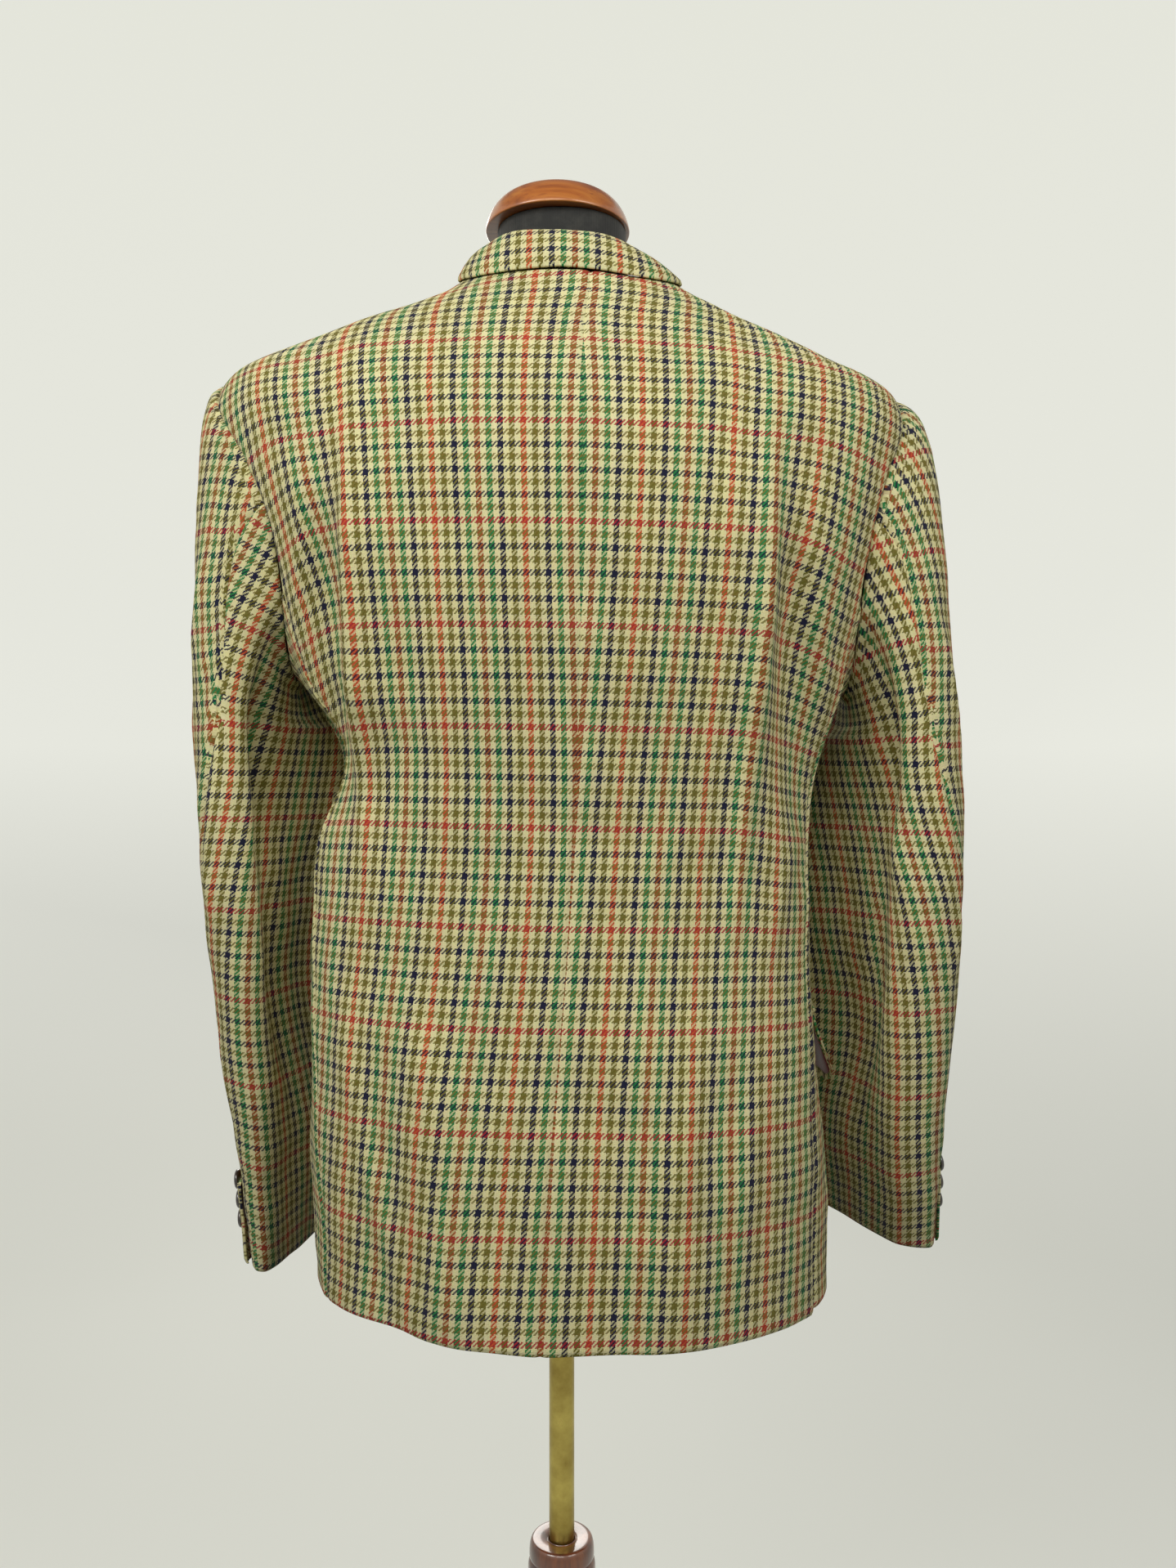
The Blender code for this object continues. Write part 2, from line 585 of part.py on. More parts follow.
def pocket_flap(side):
    """A slanted flap that hangs from its top edge and stands off the cloth at its foot."""
    columns = np.linspace(0, 1, 8)
    rows = np.linspace(1, 0, 5)[:, None]
    angles = FLAP_REAR + (FLAP_FRONT - FLAP_REAR) * columns + 0 * rows
    top = FLAP_REAR_TOP + (FLAP_FRONT_TOP - FLAP_REAR_TOP) * columns
    heights = top - FLAP_DEPTH * rows
    stand = FLAP_STAND[side] * (1 - columns * 0.7) * rows**1.2
    return cloth_on_body(f"pocket_flap_{name_of(side)}", side * angles, heights, stand + OVERLAY + WALL)


def collar_shares(steps):
    """Places right round the collar, with the same ones on both halves."""
    half = np.linspace(0, 1, steps)
    return np.concatenate([-half[:0:-1], half])


def collar_curves(shares):
    """Seam, fold and edge of the collar, each as a row of points, and the edge's angle and height."""
    side = np.where(shares < 0, RIGHT, LEFT)
    place = np.abs(shares)
    seam_angle = through(COLLAR, "seam_angle", place)
    behind = NECK_POINT - NAPE_DIP * (1 - (seam_angle / 90) ** 2)
    seam_height = np.where(seam_angle < 90, behind, through(COLLAR, "seam_height", place))
    beside = through(FRONT_EDGE, "across", seam_height) - COLLAR_SEAM_INSET
    front_angle = angle_across(side, beside, seam_height, front=True)
    seam_angle = np.where(seam_angle < 90, seam_angle * side, front_angle)
    edge_angle = through(COLLAR, "edge_angle", place) * side
    edge_height = through(COLLAR, "edge_height", place)
    fold_x = through(COLLAR, "fold_x", place) * side
    fold = np.stack(
        [
            fold_x,
            through(COLLAR, "fold_y", place),
            through(COLLAR, "fold_z", place) + TILT * fold_x,
        ],
        axis=-1,
    )
    return (seam_angle, seam_height), fold, (edge_angle, edge_height)


def away_from_neck(points):
    """Level unit vectors from the neck's middle to each point."""
    level = points * np.array([1.0, 1.0, 0.0])
    return level / np.linalg.norm(level, axis=-1, keepdims=True)


def collar_point(shares, place, out):
    """Points of the fall: an arch behind the neck that comes to lie flat on the fronts."""
    side = np.where(shares < 0, RIGHT, LEFT)
    _, fold, (edge_angle, edge_height) = collar_curves(shares)
    edge = body(edge_angle, edge_height, COLLAR_OVERLAY + out)
    start = fold + away_from_neck(fold) * out
    arch = start + (edge - start) * place + np.array([0.0, 0.0, COLLAR_ARCH]) * sin(pi * place)
    across = np.abs(fold[..., 0]) + (np.abs(edge[..., 0]) - np.abs(fold[..., 0])) * place
    fold_height = fold[..., 2] - TILT * fold[..., 0]
    height = fold_height + (edge_height - fold_height) * place
    flat = body(angle_across(side, across, height, front=True), height, COLLAR_OVERLAY + out)
    lying = smooth_step((np.abs(shares) - COLLAR_LIES) / (1 - COLLAR_LIES))[..., None]
    return arch + (flat - arch) * lying


def collar_fall():
    """The turned-down part, from the fold out and down to an edge that lies on the body."""
    outer, inner = [], []
    for place in np.linspace(0, 1, 5):
        shares = collar_shares(17)
        front = np.clip((np.abs(shares) - 0.7) / 0.3, 0, 1)
        shares = shares * (1 - NOTCH * front * max(place - NOTCH_FROM, 0) / (1 - NOTCH_FROM))
        outer.append(collar_point(shares, place, COLLAR_WALL))
        inner.append(collar_point(shares, place, 0.0))
    return wall("collar", np.array(outer), np.array(inner), CLOTH)


def collar_stand():
    """The upright part inside the fall, from the neck seam to just under the fold."""
    shares = collar_shares(17)[2:-2]
    (seam_angle, seam_height), fold, _ = collar_curves(shares)
    foot = body(seam_angle, seam_height) + np.array([0.0, 0.0, 0.0014])
    out = away_from_neck(fold)
    head = fold - out * 0.0010 - np.array([0.0, 0.0, 0.0015])
    foot_out = away_from_neck(foot)
    outer, inner = [], []
    for place in np.linspace(0, 1, 3):
        middle = foot + (head - foot) * place
        outer.append(middle - foot_out * 0.0006 * (1 - place))
        inner.append(middle - (foot_out * (1 - place) + out * place) * WALL)
    return wall("collar_stand", np.array(outer), np.array(inner), CLOTH)


# ---------------------------------------------------------------- sleeves


def body_half_width(side, y, height):
    """How wide the body is on one side, at a distance behind or in front of the pole."""
    width = through(BODY, "left" if side == LEFT else "right", height)
    depth = np.where(y > 0, through(BODY, "back", height), through(BODY, "front", height))
    power = through(BODY, "squareness", height)
    return width * np.clip(1 - np.abs(y / depth) ** power, 0, 1) ** (1 / power)


def kept_clear(side, x, y, height, clear):
    """Distances from the middle, eased out where they are nearer to the body than they should be."""
    beside = body_half_width(side, y, height) + clear
    return (x + beside + np.sqrt((x - beside) ** 2 + clear**2)) / 2


def tube_point(side, turn, height):
    """Points of a sleeve below its head, on level sections."""
    rows = SLEEVE[side]
    outer, inner = through(rows, "outer", height), through(rows, "inner", height)
    back, front = through(rows, "back", height), through(rows, "front", height)
    power = 2 / SLEEVE_SQUARENESS
    run = (back - front) / 2 * powered(np.cos(np.radians(turn)), power)
    y = (back + front) / 2 + run
    x = (outer + inner) / 2 + (outer - inner) / 2 * powered(np.sin(np.radians(turn)), power)
    x = x + through(rows, "skew", height) * run
    x = np.where(np.sin(np.radians(turn)) < 0, kept_clear(side, x, y, height, through(rows, "clear", height)), x)
    return np.stack([side * x, y, height + TILT * side * x], axis=-1)


def armhole_frame(side, turn):
    """The armhole's edge, with unit vectors away from the panel and out of its cloth."""
    step = 0.5
    angle, height = armhole(side, turn)
    here = body(angle, height)
    along = body_skin(*armhole(side, turn + step)) - body_skin(*armhole(side, turn - step))
    along /= np.linalg.norm(along, axis=-1, keepdims=True)
    normal = body(angle, height, 1.0) - here
    beyond = np.cross(along, normal) * -side
    return here, beyond / np.linalg.norm(beyond, axis=-1, keepdims=True), normal


def head_curve(side, turn):
    """Edge, corner and end of the sleeve head's curve down each line of the sleeve."""
    edge, beyond, normal = armhole_frame(side, turn)
    end = tube_point(side, turn, SLEEVE[side][0].height + 0 * turn)
    upward = ((np.sin(np.radians(turn)) + 1) / 2)[..., None]
    level = np.array([1.0, 1.0, 0.0])
    rise = np.array([0.0, 0.0, 1.0])
    corner = edge + (end - edge) * level * (0.5 + (HEAD_REACH[side] - 0.5) * upward)
    corner = corner + (end - edge) * rise * (0.5 - 0.5 * upward**0.7) + rise * HEAD_LIFT[side] * upward**4
    corner = corner + normal * UNDERARM_EASE * (1 - upward) ** 2
    leaving = corner - edge
    fold = np.arctan2((leaving * normal).sum(-1), (leaving * beyond).sum(-1))
    fold = np.clip(fold, 0, pi)[..., None]
    start = edge + SEAM_GAP * (beyond * np.cos(fold / 2) + normal * np.sin(fold / 2))
    inward = beyond * np.sin(fold) - normal * np.cos(fold)
    return start, corner, end, upward, inward


def sleeve_head(side, turn, share):
    """Points of the sleeve head, from the armhole's edge to the first level section."""
    start, corner, end, upward, _ = head_curve(side, turn)
    pull = 1 + HEAD_PULL * upward
    share = share[..., None]
    total = (1 - share) ** 2 + 2 * share * (1 - share) * pull + share**2
    head = ((1 - share) ** 2 * start + 2 * share * (1 - share) * pull * corner + share**2 * end) / total
    clear = HEAD_CLEAR * smooth_step(share[..., 0] * 4) * smooth_step((1 - share[..., 0]) * 4)
    x, height = head[..., 0] * side, head[..., 2] - TILT * head[..., 0]
    low = smooth_step(-np.sin(np.radians(turn)) * 2)
    head[..., 0] += side * low * (kept_clear(side, x, head[..., 1], height, clear) - x)
    return head


def sleeve_skin(side, turn, place):
    """Points of a sleeve: place 0 is the armhole, 1 the first level section and 2 the cuff."""
    turn, place = np.broadcast_arrays(np.asarray(turn, float), np.asarray(place, float))
    rows = SLEEVE[side]
    height = rows[0].height + (rows[-1].height - rows[0].height) * np.clip(place - 1, 0, 1)
    on_tube = tube_point(side, turn, height)
    on_head = sleeve_head(side, turn, np.clip(place, 0, 1))
    return np.where(place[..., None] > 1, on_tube, on_head)


def sleeve(side, turn, place, out):
    """Sleeve points moved out from the surface along its normal."""
    turn, place = np.broadcast_arrays(np.asarray(turn, float), np.asarray(place, float))
    ahead = np.clip(place + 0.01, 0, 2)
    behind = np.clip(place - 0.01, 0, 2)
    along = sleeve_skin(side, turn, ahead) - sleeve_skin(side, turn, behind)
    about = sleeve_skin(side, turn + 0.3, place) - sleeve_skin(side, turn - 0.3, place)
    normal = np.cross(about, along) * side
    normal /= np.linalg.norm(normal, axis=-1, keepdims=True)
    return sleeve_skin(side, turn, place) + normal * np.asarray(out)[..., None]


def seam_turns(side, place):
    """Turns of the hind and fore seams at a place on the sleeve."""
    rows = SLEEVE[side]
    height = rows[0].height + (rows[-1].height - rows[0].height) * np.clip(place - 1, 0, 1)
    head = smooth_step(place)
    hind = through(SLEEVE_SEAMS, "hind", height)
    fore = through(SLEEVE_SEAMS, "fore", height)
    return HIND_TURN + (hind - HIND_TURN) * head, FORE_TURN + (fore - FORE_TURN) * head


def place_above_cuff(side, up):
    """The place on a sleeve that is this far above its cuff."""
    rows = SLEEVE[side]
    return 2 - up / (rows[0].height - rows[-1].height)


def sleeve_places(side):
    """Rows of a sleeve: evenly down to the cuff vent, then at its top, just under it and to the cuff."""
    head = np.linspace(0, 1, HEAD_ROWS + 1) ** 0.85
    vent = place_above_cuff(side, VENT_HEIGHT + VENT_RAMP)
    tube = np.linspace(1, vent, TUBE_ROWS + 1)[1:]
    cuff = [place_above_cuff(side, up) for up in (VENT_HEIGHT, VENT_HEIGHT - 0.004, VENT_HEIGHT / 2, 0)]
    return np.concatenate([head, tube, cuff])[:, None]


def sleeve_gap(side, turn, place, gap):
    """The change of turn that moves a point this far round the sleeve."""
    step = np.linalg.norm(
        sleeve_skin(side, turn + 0.2, place) - sleeve_skin(side, turn - 0.2, place), axis=-1
    )
    return gap / (step / 0.4)


def sleeve_piece(name, side, turns, lap_out=0.0):
    """A wall of sleeve whose first row meets the armhole edge to edge."""
    place = sleeve_places(side) + 0 * turns
    outer = sleeve(side, turns, place, lap_out)
    inner = sleeve(side, turns, place, np.asarray(lap_out) - WALL)
    start, _, _, _, inward = head_curve(side, turns[0])
    outer[0] = start
    inner[0] = start + inward * WALL
    return wall(name, outer, inner, CLOTH)


def top_sleeve(side):
    """The outer sleeve piece, with the lap of its cuff vent."""
    shares = np.array([8.0, 22, 38, 55, 72, 90, 105, 120, 135, 150, 165, 180, 196, 213])
    shares = (shares - shares[0]) / (shares[-1] - shares[0])
    place = sleeve_places(side)
    hind, fore = seam_turns(side, place)
    rows = SLEEVE[side]
    cuff = (2 - place) * (rows[0].height - rows[-1].height)
    lifted = smooth_step((VENT_HEIGHT + VENT_RAMP - cuff) / VENT_RAMP)
    lapped = smooth_step((VENT_HEIGHT - cuff) / 0.004)
    span = fore + 360 - hind
    turns = hind + span * shares
    turns[:, 0] += sleeve_gap(side, turns[:, 0], place[:, 0], SEAM_GAP / 2)
    turns[:, -1] -= sleeve_gap(side, turns[:, -1], place[:, 0], SEAM_GAP / 2)
    near_edge = smooth_step(1 - shares / 0.28)
    turns = turns - VENT_LAP * lapped * (1 - shares) ** 6
    lift = VENT_LIFT * lifted + VENT_FLARE * np.clip(1 - cuff / VENT_HEIGHT, 0, 1)
    return sleeve_piece(f"topsleeve_{name_of(side)}", side, turns, lift * near_edge)


def under_sleeve(side):
    """The inner sleeve piece."""
    shares = np.array([8.0, -7, -20, -33, -52, -71, -90, -109, -128, -147])
    shares = (shares - shares[0]) / (shares[-1] - shares[0])
    place = sleeve_places(side)
    hind, fore = seam_turns(side, place)
    turns = hind + (fore - hind) * shares
    turns[:, 0] -= sleeve_gap(side, turns[:, 0], place[:, 0], SEAM_GAP / 2)
    turns[:, -1] += sleeve_gap(side, turns[:, -1], place[:, 0], SEAM_GAP / 2)
    return sleeve_piece(f"undersleeve_{name_of(side)}", side, turns)


# ---------------------------------------------------------------- buttons


def name_of(side):
    return "left" if side == LEFT else "right"


def button(name, radius, at, outward):
    """A domed four-hole style button, plain here, standing on its flat back."""
    profile = ((0.86, 0.0), (1.0, 0.14), (1.0, 0.26), (0.80, 0.40), (0.42, 0.50))
    rings = []
    for share, rise in profile:
        rings.append(
            [
                Vector((cos(2 * pi * k / BUTTON_SIDES), sin(2 * pi * k / BUTTON_SIDES), 0)) * radius * share
                + Vector((0, 0, rise * radius))
                for k in range(BUTTON_SIDES)
            ]
        )
    made = lathe(name, rings, HORN)
    made.matrix_world = (
        Matrix.Translation(at) @ Vector(outward).to_track_quat("Z", "Y").to_matrix().to_4x4()
    )
    return made


def front_buttons():
    for number, height in enumerate(FRONT_BUTTON_HEIGHTS, 1):
        out = float(lap(LEFT, np.array(180.0), np.array(height)))
        at = body(np.array(180.0), np.array(height), out + 0.0012)
        outward = body(np.array(180.0), np.array(height), 1.0) - body(np.array(180.0), np.array(height))
        button(f"front_button_{number}", FRONT_BUTTON_RADIUS, at, outward)


def cuff_buttons(side):
    turn = np.array(CUFF_BUTTON_TURN)
    for number in range(1, CUFF_BUTTONS + 1):
        up = CUFF_BUTTON_FROM + (number - 1) * CUFF_BUTTON_PITCH
        place = np.array(place_above_cuff(side, up))
        lifted = VENT_LIFT * 0.9
        at = sleeve(side, turn, place, lifted + 0.0012)
        outward = sleeve(side, turn, place, 1.0) - sleeve(side, turn, place, 0.0)
        button(f"cuff_button_{name_of(side)}_{number}", CUFF_BUTTON_RADIUS, at, outward)


# ---------------------------------------------------------------- dress form and stand


def dress_form():
    """The smooth black bust, whole, with its neck."""
    rings = []
    power = 2 / FORM_SQUARENESS
    for row in FORM:
        ring = []
        for k in range(FORM_SIDES):
            turn = 2 * pi * k / FORM_SIDES
            depth = row.back if cos(turn) > 0 else row.front
            x = row.width * float(powered(sin(turn), power))
            y = depth * float(powered(cos(turn), power))
            ring.append((x, y, row.height))
        rings.append(ring)
    return lathe("form", rings, BLACK_CLOTH)


def turned(name, profile, finish, at=(0.0, 0.0), sides=TURNED_SIDES):
    """A turned piece from rows of radius and height, foot first."""
    rings = [
        [
            (at[0] + radius * cos(2 * pi * k / sides), at[1] + radius * sin(2 * pi * k / sides), height)
            for k in range(sides)
        ]
        for radius, height in profile
    ]
    return lathe(name, rings, finish)


def neck_cap():
    """A disc with a full band and a low domed top."""
    profile = (
        (CAP_RADIUS - 0.0030, CAP_FOOT),
        (CAP_RADIUS, CAP_FOOT + 0.0028),
        (CAP_RADIUS - 0.0003, CAP_FOOT + 0.0080),
        (CAP_RADIUS - 0.0028, CAP_FOOT + 0.0150),
        (CAP_RADIUS - 0.0083, CAP_FOOT + 0.0210),
        (CAP_RADIUS * 0.66, CAP_FOOT + 0.0250),
        (CAP_RADIUS * 0.34, CAP_TOP),
    )
    return turned("neck_cap", profile, CAP_WOOD, CAP_AT)


def hub():
    """The turned hub under the pole, bored from its top so that the pole stands in it."""
    bore = POLE_RADIUS + SEAM_GAP
    profile = (
        (HUB_RADIUS - 0.0080, HUB_FOOT),
        (HUB_RADIUS - 0.0010, HUB_FOOT + 0.0060),
        (HUB_RADIUS + HUB_SWELL, HUB_FOOT + 0.0200),
        (HUB_RADIUS + HUB_SWELL, HUB_TOP - 0.0200),
        (HUB_RADIUS, HUB_TOP - 0.0080),
        (HUB_RADIUS - 0.0006, HUB_TOP - 0.0015),
        (HUB_RADIUS - 0.0026, HUB_TOP),
        (bore + 0.0016, HUB_TOP - 0.0012),
        (bore, HUB_TOP - 0.0030),
        (bore, HUB_TOP - 0.0300),
    )
    return turned("hub", profile, DARK_WOOD)


def leg(number, direction):
    """A bowed leg of rounded section, from the hub's side to a flat foot."""
    heading = radians(direction)
    out = Vector((cos(heading), sin(heading), 0))
    across = Vector((-sin(heading), cos(heading), 0))
    root = HUB_RADIUS + HUB_SWELL + SEAM_GAP
    steps = np.linspace(0, 1, 14)
    keyed = [(i / (len(LEG) - 1), *row) for i, row in enumerate(LEG)]
    Keyed = namedtuple("Keyed", "share out height width depth")
    keyed = [Keyed(*row) for row in keyed]
    rings = []
    for share in steps:
        place = out * float(through(keyed, "out", share)) + Vector((0, 0, float(through(keyed, "height", share))))
        before, after = max(share - 0.02, 0), min(share + 0.02, 1)
        run = out * float(through(keyed, "out", after) - through(keyed, "out", before)) + Vector(
            (0, 0, float(through(keyed, "height", after) - through(keyed, "height", before)))
        )
        up = across.cross(run).normalized()
        width = float(through(keyed, "width", share)) / 2
        depth = float(through(keyed, "depth", share)) / 2
        ring = []
        for k in range(10):
            turn = 2 * pi * k / 10
            point = place + across * width * float(powered(cos(turn), 0.75))
            point = point + up * depth * float(powered(sin(turn), 0.75))
            if share == 0:
                point += out * (root - point.dot(out))
            point.z = max(point.z, 0.0)
            ring.append(point)
        rings.append(ring)
    return lathe(f"leg_{number}", rings, DARK_WOOD)


def stand():
    turned("pole", ((POLE_RADIUS, HUB_TOP - 0.0297), (POLE_RADIUS, POLE_TOP)), BRASS)
    hub()
    for number, direction in enumerate(LEG_DIRECTIONS, 1):
        leg(number, direction)


# ---------------------------------------------------------------- the whole object


def clear_scene():
    for old in list(bpy.data.objects):
        bpy.data.objects.remove(old, do_unlink=True)


def main():
    clear_scene()
    for side in SIDES.values():
        back_panel(side)
        side_panel(side)
        front_panel(side)
        lapel(side)
        pocket_flap(side)
        top_sleeve(side)
        under_sleeve(side)
        cuff_buttons(side)
    collar_fall()
    collar_stand()
    front_buttons()
    dress_form()
    neck_cap()
    stand()
    layout = bpy.data.objects.new("layout", None)
    bpy.context.scene.collection.objects.link(layout)
    for piece in list(bpy.data.objects):
        if piece is not layout:
            piece.parent = layout
    layout.location = -FOOTPRINT_MIDDLE


main()
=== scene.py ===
"""Looks of a tweed hacking jacket worn by a limbless dress form on a tripod stand.

Sizes are in metres. Every piece is laid out about the stand's pole, with the floor at z = 0, the wearer
facing -Y and the wearer's left at +X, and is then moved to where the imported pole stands. The cloth is read
from two surfaces, the body of the jacket and its sleeves, and each cut piece is a thin shell on one of them
that carries a map of the flat cloth in millimetres, from which its weave is drawn.
"""

import logging
import math
from dataclasses import dataclass, field
from enum import Enum
from typing import Callable, Iterable, Sequence

import bpy
import numpy as np
from mathutils import Matrix, Vector


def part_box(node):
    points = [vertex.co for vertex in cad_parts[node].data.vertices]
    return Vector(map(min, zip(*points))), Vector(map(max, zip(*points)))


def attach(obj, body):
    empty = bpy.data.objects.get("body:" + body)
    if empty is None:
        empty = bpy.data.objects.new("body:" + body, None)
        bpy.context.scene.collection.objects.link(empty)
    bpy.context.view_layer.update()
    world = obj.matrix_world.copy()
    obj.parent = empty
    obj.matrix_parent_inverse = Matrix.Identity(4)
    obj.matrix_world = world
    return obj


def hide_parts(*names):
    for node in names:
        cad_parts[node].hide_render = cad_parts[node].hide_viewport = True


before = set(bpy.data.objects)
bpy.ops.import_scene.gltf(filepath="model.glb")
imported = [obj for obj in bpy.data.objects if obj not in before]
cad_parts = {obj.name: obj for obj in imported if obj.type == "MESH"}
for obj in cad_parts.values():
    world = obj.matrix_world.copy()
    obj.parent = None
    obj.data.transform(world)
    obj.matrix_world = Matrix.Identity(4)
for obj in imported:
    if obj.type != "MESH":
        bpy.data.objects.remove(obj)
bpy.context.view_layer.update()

log = logging.getLogger("jacket")

Array = np.ndarray
Values = Array | float
Socket = bpy.types.NodeSocket
Tree = bpy.types.NodeTree
MM = 1000.0
WALL = 0.0020  # How thick the tweed and its lining are together.
SEAM_GAP = 0.0003  # What is left open between two pieces at a seam.
OVERLAY = 0.0008  # The air under a piece that lies on another.
CLOTH_MAP = "ClothMillimetres"
BAR = (0.9508, 0.00207)  # A level, and the place up the weave that panels and sleeves share there.
HEM_FACING = (0.038, 0.0, 0.0, 0.0)
ROLL_TURN = 150.0  # Degrees that a lapel's or a collar's fold turns back under it.


# ---------------------------------------------------------------- numbers


@dataclass(frozen=True)
class Table:
    """Rows of numbers with named columns, read as smooth curves along the first column."""

    columns: str
    rows: tuple[tuple[float, ...], ...]

    def column(self, name: str) -> Array:
        """All values of one column."""
        place = self.columns.split().index(name)
        return np.array([row[place] for row in self.rows], float)

    def at(self, name: str, place: Values) -> Array:
        """Reads a smooth curve through one column.

        Args:
            name: The column.
            place: Where to read it, in units of the first column.

        Returns:
            The value at each place, held at the table's two ends.
        """
        places, values = self.column(self.columns.split()[0]), self.column(name)
        if places[0] > places[-1]:
            places, values = places[::-1], values[::-1]
        return curve(places, values, np.clip(np.asarray(place, float), places[0], places[-1]))

    def several(self, names: str, place: Values) -> list[Array]:
        """Reads several columns at once."""
        return [self.at(name, place) for name in names.split()]


def curve(places: Array, values: Array, at: Array) -> Array:
    """A smooth curve through values at rising places, read at others between them.

    Args:
        places: Where the values are, in rising order.
        values: A value for each place.
        at: Where to read the curve.

    Returns:
        The values there.
    """
    slopes = np.gradient(values, places)
    index = np.clip(np.searchsorted(places, at, side="right") - 1, 0, len(places) - 2)
    span = places[index + 1] - places[index]
    share = (at - places[index]) / span
    return (
        values[index] * (1 + 2 * share) * (1 - share) ** 2
        + slopes[index] * span * share * (1 - share) ** 2
        + values[index + 1] * share**2 * (3 - 2 * share)
        + slopes[index + 1] * span * share**2 * (share - 1)
    )


def table(columns: str, text: str) -> Table:
    """Makes a table of text in which semicolons part the rows."""
    return Table(columns, tuple(tuple(map(float, row.split())) for row in text.split(";")))


def axis(height: float) -> Array:
    """The point of the pole's middle line at a height."""
    return np.array([0.0, 0.0, height])


def powered(value: Array, power: Values) -> Array:
    """A power that keeps the sign."""
    return np.sign(value) * np.abs(value) ** power


def smooth_step(value: Values) -> Array:
    """A soft step from zero to one."""
    value = np.clip(value, 0.0, 1.0)
    return value * value * (3 - 2 * value)


def unit(vectors: Array) -> Array:
    """Vectors brought to a length of one."""
    return vectors / np.maximum(np.linalg.norm(vectors, axis=-1, keepdims=True), 1e-12)


def edged(count: int, length: float, start: bool = True, end: bool = True) -> Array:
    """Shares from 0 to 1 that stand close together near an edge, so that it can turn over roundly.

    Args:
        count: How many even steps there are.
        length: The real length that the shares divide.
        start: Whether the first end is such an edge.
        end: Whether the last end is.

    Returns:
        The shares in rising order.
    """
    near = np.array([0.0004, 0.0010, 0.0018, 0.0028, 0.0040]) / length
    shares = [np.linspace(0, 1, count + 1)]
    if start:
        shares.append(near)
    if end:
        shares.append(1 - near)
    return np.unique(np.concatenate(shares).round(7))


def both_ways(half: Array) -> Array:
    """Shares from 0 to 1, carried on from -1."""
    return np.concatenate([-half[:0:-1], half])


class Side(Enum):
    """The wearer's left, towards +X, and right."""

    LEFT = 1
    RIGHT = -1

    @property
    def label(self) -> str:
        """The word in the names of pieces."""
        return self.name.lower()


# ---------------------------------------------------------------- the body's surface


